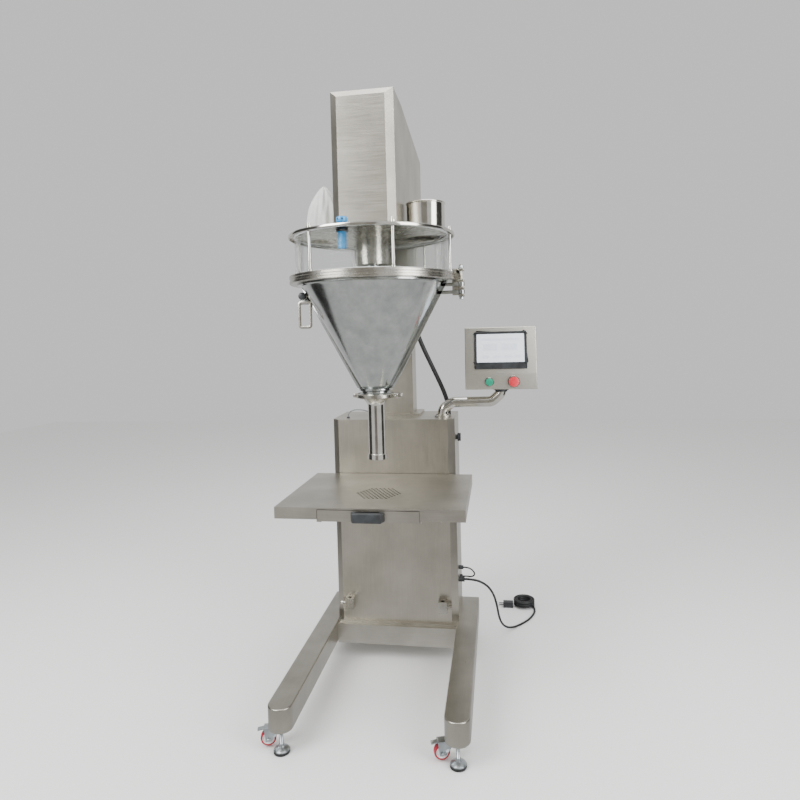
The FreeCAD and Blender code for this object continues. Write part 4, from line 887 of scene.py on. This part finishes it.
def screen_glass():
    bm = bmesh.new()
    slab(bm, -BEZEL_W / 2 + 9.8, BEZEL_W / 2 - 9.8, -4.9, -0.6, -BEZEL_H / 2 + 25, BEZEL_H / 2 - 9.6)
    on_slope(bm, bm.verts)
    return piece("screen_glass", bm, touch_glass(), "panel")


def console_box():
    """Folded console: small bend radii, welded and dressed corners."""
    bm = bmesh.new()
    outline = [(PANEL_FRONT, PANEL_LOW), (PANEL_FRONT, PANEL_FOLD), (PANEL_FRONT + PANEL_TILT, PANEL_HIGH),
               (PANEL_REAR, PANEL_HIGH), (PANEL_REAR, PANEL_LOW)]
    side = bm.faces.new([bm.verts.new((PANEL_X - PANEL_HALF, y, z)) for y, z in outline])
    grown = bmesh.ops.extrude_face_region(bm, geom=[side])
    bmesh.ops.translate(bm, vec=(2 * PANEL_HALF, 0, 0),
                        verts=[v for v in grown["geom"] if isinstance(v, bmesh.types.BMVert)])
    bmesh.ops.recalc_face_normals(bm, faces=bm.faces)
    soften(bm, 3.0, 4, angle=5)
    return piece("console_folded", bm, CONSOLE_SHEET, "panel", ["display_box"])


def push_buttons():
    made = []
    for node, body, x, cap_r, cap_t, finish in (("start_button", "start_button", PANEL_X - 45, 15, 8, GREEN_PC),
                                                ("stop_button", "stop_button", PANEL_X + 49, 20, 12, RED_PC)):
        bm = bmesh.new()
        gap = 4.4
        dome = 2.2 if cap_t < 10 else 4.5
        lathe(bm, [(0.2, -20), (12, -20), (12, gap), (cap_r - 1.5, gap), (cap_r, gap + 1.4),
                   (cap_r, gap + cap_t - dome), (cap_r * 0.93, gap + cap_t - dome * 0.45), (cap_r * 0.7, gap + cap_t - dome * 0.1),
                   (cap_r * 0.35, gap + cap_t), (0.2, gap + cap_t)], 0, 0, steps=56)
        bmesh.ops.transform(bm, matrix=turn_of(x, PANEL_FRONT, 1113, "y") @ Matrix.Rotation(math.pi, 4, "X"), verts=bm.verts)
        made.append(piece(node + "_cap", bm, finish, body, [node]))
    bm = bmesh.new()
    for x, r in ((PANEL_X - 45, 15), (PANEL_X + 49, 20)):
        ring = lathe(bm, [(r + 0.5, 0), (r + 3.6, 0), (r + 3.6, 2.0), (r + 2.2, 3.4), (r + 0.5, 3.4)], 0, 0, steps=56)
        bmesh.ops.transform(bm, matrix=turn_of(x, PANEL_FRONT, 1113, "y") @ Matrix.Rotation(math.pi, 4, "X"), verts=ring)
    made.append(piece("button_collars", bm, SATIN, "panel"))
    return made


ARM_R = 21.0
ARM_ROUTE = [(196, 110, 971 + 6.4), (196, 110, 1004), (240, 110, 1029), (PANEL_X - 38, 110, 1031),
             (PANEL_X, 110, 1064), (PANEL_X, 110, PANEL_LOW - 0.4)]


def panel_arm():
    tube = routed_tube("panel_arm_tube", ARM_ROUTE, ARM_R, BRIGHT, "arm", corner=32, sides=48, replaces=["display_arm"])
    bm = bmesh.new()
    lathe(bm, [(ARM_R - 0.5, PANEL_LOW - 12), (ARM_R + 3, PANEL_LOW - 12), (ARM_R + 3, PANEL_LOW - 7),
               (ARM_R + 9, PANEL_LOW - 6), (ARM_R + 9, PANEL_LOW - 0.4), (ARM_R - 0.5, PANEL_LOW - 0.4)],
          PANEL_X, 110, steps=64)
    piece("panel_arm_flange", bm, BLACK_ABS, "arm")
    bm = bmesh.new()
    for step in range(4):
        turn = math.radians(45 + 90 * step)
        cap_screw(bm, 196 + 30.5 * math.cos(turn), 110 + 30.5 * math.sin(turn), 977, "z", radius=3.2, head=2)
    piece("socket_screws", bm, ZINC, "frame")
    return tube


# ---- wheels and feet -----------------------------------------------------
CORNERS = (("front_left", -1, 1), ("front_right", 1, 1), ("rear_left", -1, -1), ("rear_right", 1, -1))
LEG_X = 278.0
WHEEL_R, WHEEL_LIFT = 25.0, 6.0


def at_caster(bm, side, end):
    turn = Matrix.Rotation(math.radians(17.0 * end), 4, "Z")
    foot_y = -556.0 if end > 0 else 256.0
    place = Matrix.Translation((side * LEG_X - 20.0, foot_y + end * 32.0, 0))
    bmesh.ops.transform(bm, matrix=place @ turn, verts=bm.verts)


def caster_set(name, side, end):
    x, z = -33.0, WHEEL_R + WHEEL_LIFT
    bm = bmesh.new()
    lathe(bm, [(19, -9.6), (22.4, -9.6), (24.3, -8.4), (25, -6), (25, 6), (24.3, 8.4), (22.4, 9.6), (19, 9.6)],
          x, z, "y", steps=64)
    at_caster(bm, side, end)
    piece("tyre_" + name, bm, RED_PU, "wheel_" + name, ["caster_wheel_" + name])
    bm = bmesh.new()
    lathe(bm, [(4.3, -10), (8, -10), (8.6, -9.4), (9, -7), (15.5, -6), (17.5, -8.8), (19.2, -8.8), (19.2, 8.8),
               (17.5, 8.8), (15.5, 6), (9, 7), (8.6, 9.4), (8, 10), (4.3, 10)], x, z, "y", steps=64)
    at_caster(bm, side, end)
    piece("hub_" + name, bm, WHITE_PA, "wheel_" + name)
    bm = bmesh.new()
    crown = z + WHEEL_R + 5
    for s in (-1, 1):
        y0, y1 = sorted((s * 12, s * 15))
        cheek = slab(bm, x - 14, 12, y0, y1, z - 9, crown + 5)
        for vert in cheek:
            if vert.co.z < z:
                vert.co.x = x + (9 if vert.co.x > x + 5 else -9)
        soften(bm, 1.2, 2, verts=cheek)
        boss = drum(bm, 7.5, x, z, *sorted((s * 15, s * 16.4)), "y", sides=32)
    top = slab(bm, x - 14, 12, -15, 15, crown, crown + 5)
    soften(bm, 2.0, 3, verts=top)
    lathe(bm, [(0.3, crown + 5), (17, crown + 5), (18.5, crown + 7), (17, crown + 10), (13, crown + 11),
               (13, LEG_LOW[0].z / MM - 0.4), (0.3, LEG_LOW[0].z / MM - 0.4)], 0, 0, steps=48)
    pedal = slab(bm, x - 34, x - 12, -9, 9, crown - 1, crown + 3)
    for vert in pedal:
        if vert.co.x < x - 20:
            vert.co.z -= 3
    soften(bm, 1.5, 2, verts=pedal)
    at_caster(bm, side, end)
    piece("fork_" + name, bm, ZINC, "swivel_" + name, ["caster_fork_" + name])
    bm = bmesh.new()
    drum(bm, 4, x, z, -17, 17, "y", sides=24)
    hex_bolt(bm, x, 17, z, "y", across=9, head=3.4, sign=1)
    hex_bolt(bm, x, -17, z, "y", across=9, head=3.4, sign=-1)
    at_caster(bm, side, end)
    piece("axle_" + name, bm, ZINC, "swivel_" + name)


def levelling_set(name, side, end):
    x, y = side * LEG_X, -556.0 if end > 0 else 256.0
    bm = bmesh.new()
    lathe(bm, [(0.3, 0.6), (23.5, 0.6), (26, 1.6), (26, 8.6), (24.6, 9.6), (0.3, 9.6)], x, y, steps=56)
    piece("foot_ring_" + name, bm, RUBBER, "foot_" + name)
    bm = bmesh.new()
    top = LEG_LOW[0].z / MM - 0.4
    lathe(bm, [(0.3, 9.7), (25.2, 9.7), (24.4, 12.2), (22, 14), (10, 20), (8.5, 23), (8, 27), (6, 27.6)]
          + [(6 - 0.9 * (k % 2), 28 + 1.0 * k) for k in range(int(top - 29))] + [(5.5, top), (0.3, top)], x, y, steps=40)
    nut = drum(bm, 11, x, y, 62, 71, sides=6)
    soften(bm, 1.0, 2, verts=nut)
    piece("foot_" + name + "_stem", bm, ZINC, "foot_" + name, ["levelling_foot_" + name])


# ---- small fittings ------------------------------------------------------
def side_knob():
    """Black quarter-turn knob with a grooved waist on the right-hand side."""
    bm = bmesh.new()
    z, y, x = 888.0, 110.0, 246.0
    lathe(bm, [(0.3, 0.5), (10, 0.5), (10, 5), (9, 6), (15, 7.2), (17, 9), (17, 12.6), (15.6, 13.8), (14.6, 14.4),
               (15.6, 15), (17, 16.2), (17, 17.6), (15.5, 19.6), (12, 20), (0.3, 20)], y, z, "x", steps=56)
    for vert in bm.verts:
        vert.co.x += x
    return piece("side_quarter_turn_knob", bm, BLACK_ABS, "side_latch", ["side_latch"])


CONSOLE_SHEET = brushed_stainless("stainless_console_bead_blasted", "#d9d6cc", "#cfccc2", 0.42, "x", fine_mm=0.9, long_mm=8, bump=0.1)

for make in (bridge_handle, collars_and_screws, bezel, screen_glass, console_box, push_buttons, panel_arm, side_knob):
    make()
for corner in CORNERS:
    caster_set(*corner)
    levelling_set(*corner)

# ---- materials for the sheet-metal solids that stay ------------------------
KEPT = {
    SHEET_LONG: ("leg_left", "leg_right"),
    SHEET_ACROSS: ("motor_housing", "base_crossbars", "table_top", "drawer_tray", "cabinet_top"),
    SHEET_UP: ("cabinet_shell", "rear_door", "support_column"),
    SATIN: ("bearing_housing", "hopper_lid", "auger_screw", "shaft_coupling", "table_rods", "rod_clamps"),
    SPUN: ("agitator_frame",),
    DARK_PAINT: ("servo_motor",),
    GREY_PAINT: ("agitator_motor",),
    ZINC: ("driven_gear", "drive_gear"),
    BLACK_ABS: ("power_plug", "cable_glands"),
}
for finish, names in KEPT.items():
    for name in names:
        NODES[name].data.materials.clear()
        NODES[name].data.materials.append(finish)

# ---- studio --------------------------------------------------------------
def reflector(name, place, aim, size, tone):
    """Plain card that only shows in reflections, as in a product studio."""
    bpy.ops.mesh.primitive_plane_add(size=1)
    card = bpy.context.object
    card.name = name
    turn = (aim - place).to_track_quat("-Z", "Y").to_matrix().to_4x4()
    card.data.transform(Matrix.Translation(place) @ turn @ Matrix.Diagonal((size[0], size[1], 1, 1)))
    mat, tree, shader = new_material(name + "_cloth")
    shader.inputs["Base Color"].default_value = linear(tone)
    shader.inputs["Roughness"].default_value = 0.9
    card.data.materials.append(mat)
    card.visible_camera = False
    card.visible_diffuse = False
    card.visible_shadow = False
    card.visible_transmission = False


def studio():
    bpy.ops.mesh.primitive_plane_add(size=1)
    floor = bpy.context.object
    floor.name = "floor"
    floor.data.transform(Matrix.Scale(14, 4))
    mat, tree, shader = new_material("studio_floor_paper")
    shader.inputs["Base Color"].default_value = linear("#f4f4f3")
    shader.inputs["Roughness"].default_value = 0.8
    floor.data.materials.append(mat)
    floor.visible_glossy = False
    reflector("left_dark_card", at(-3200, -300, 1300), at(0, -200, 1200), (3.4, 4.2), "#2c2b29")
    reflector("right_dark_card", at(3200, 200, 1300), at(0, -200, 1200), (2.4, 4.2), "#2c2b29")
    reflector("front_grey_card", at(0, -4300, 1500), at(0, 0, 1200), (2.6, 4.6), "#8f8b84")
    world = bpy.data.worlds.new("studio")
    bpy.context.scene.world = world
    world.use_nodes = True
    world.node_tree.nodes["Background"].inputs["Color"].default_value = (1, 1, 1, 1)
    world.node_tree.nodes["Background"].inputs["Strength"].default_value = 0.75
    area_light("key", at(-1900, -2300, 2900), at(0, 0, 1000), (1.6, 2.4), 130)
    area_light("fill", at(2300, -1600, 2000), at(0, 0, 1100), (1.2, 2.6), 75)
    area_light("top", at(0, -300, 4200), at(0, 0, 0), (3.0, 3.0), 90)


studio()
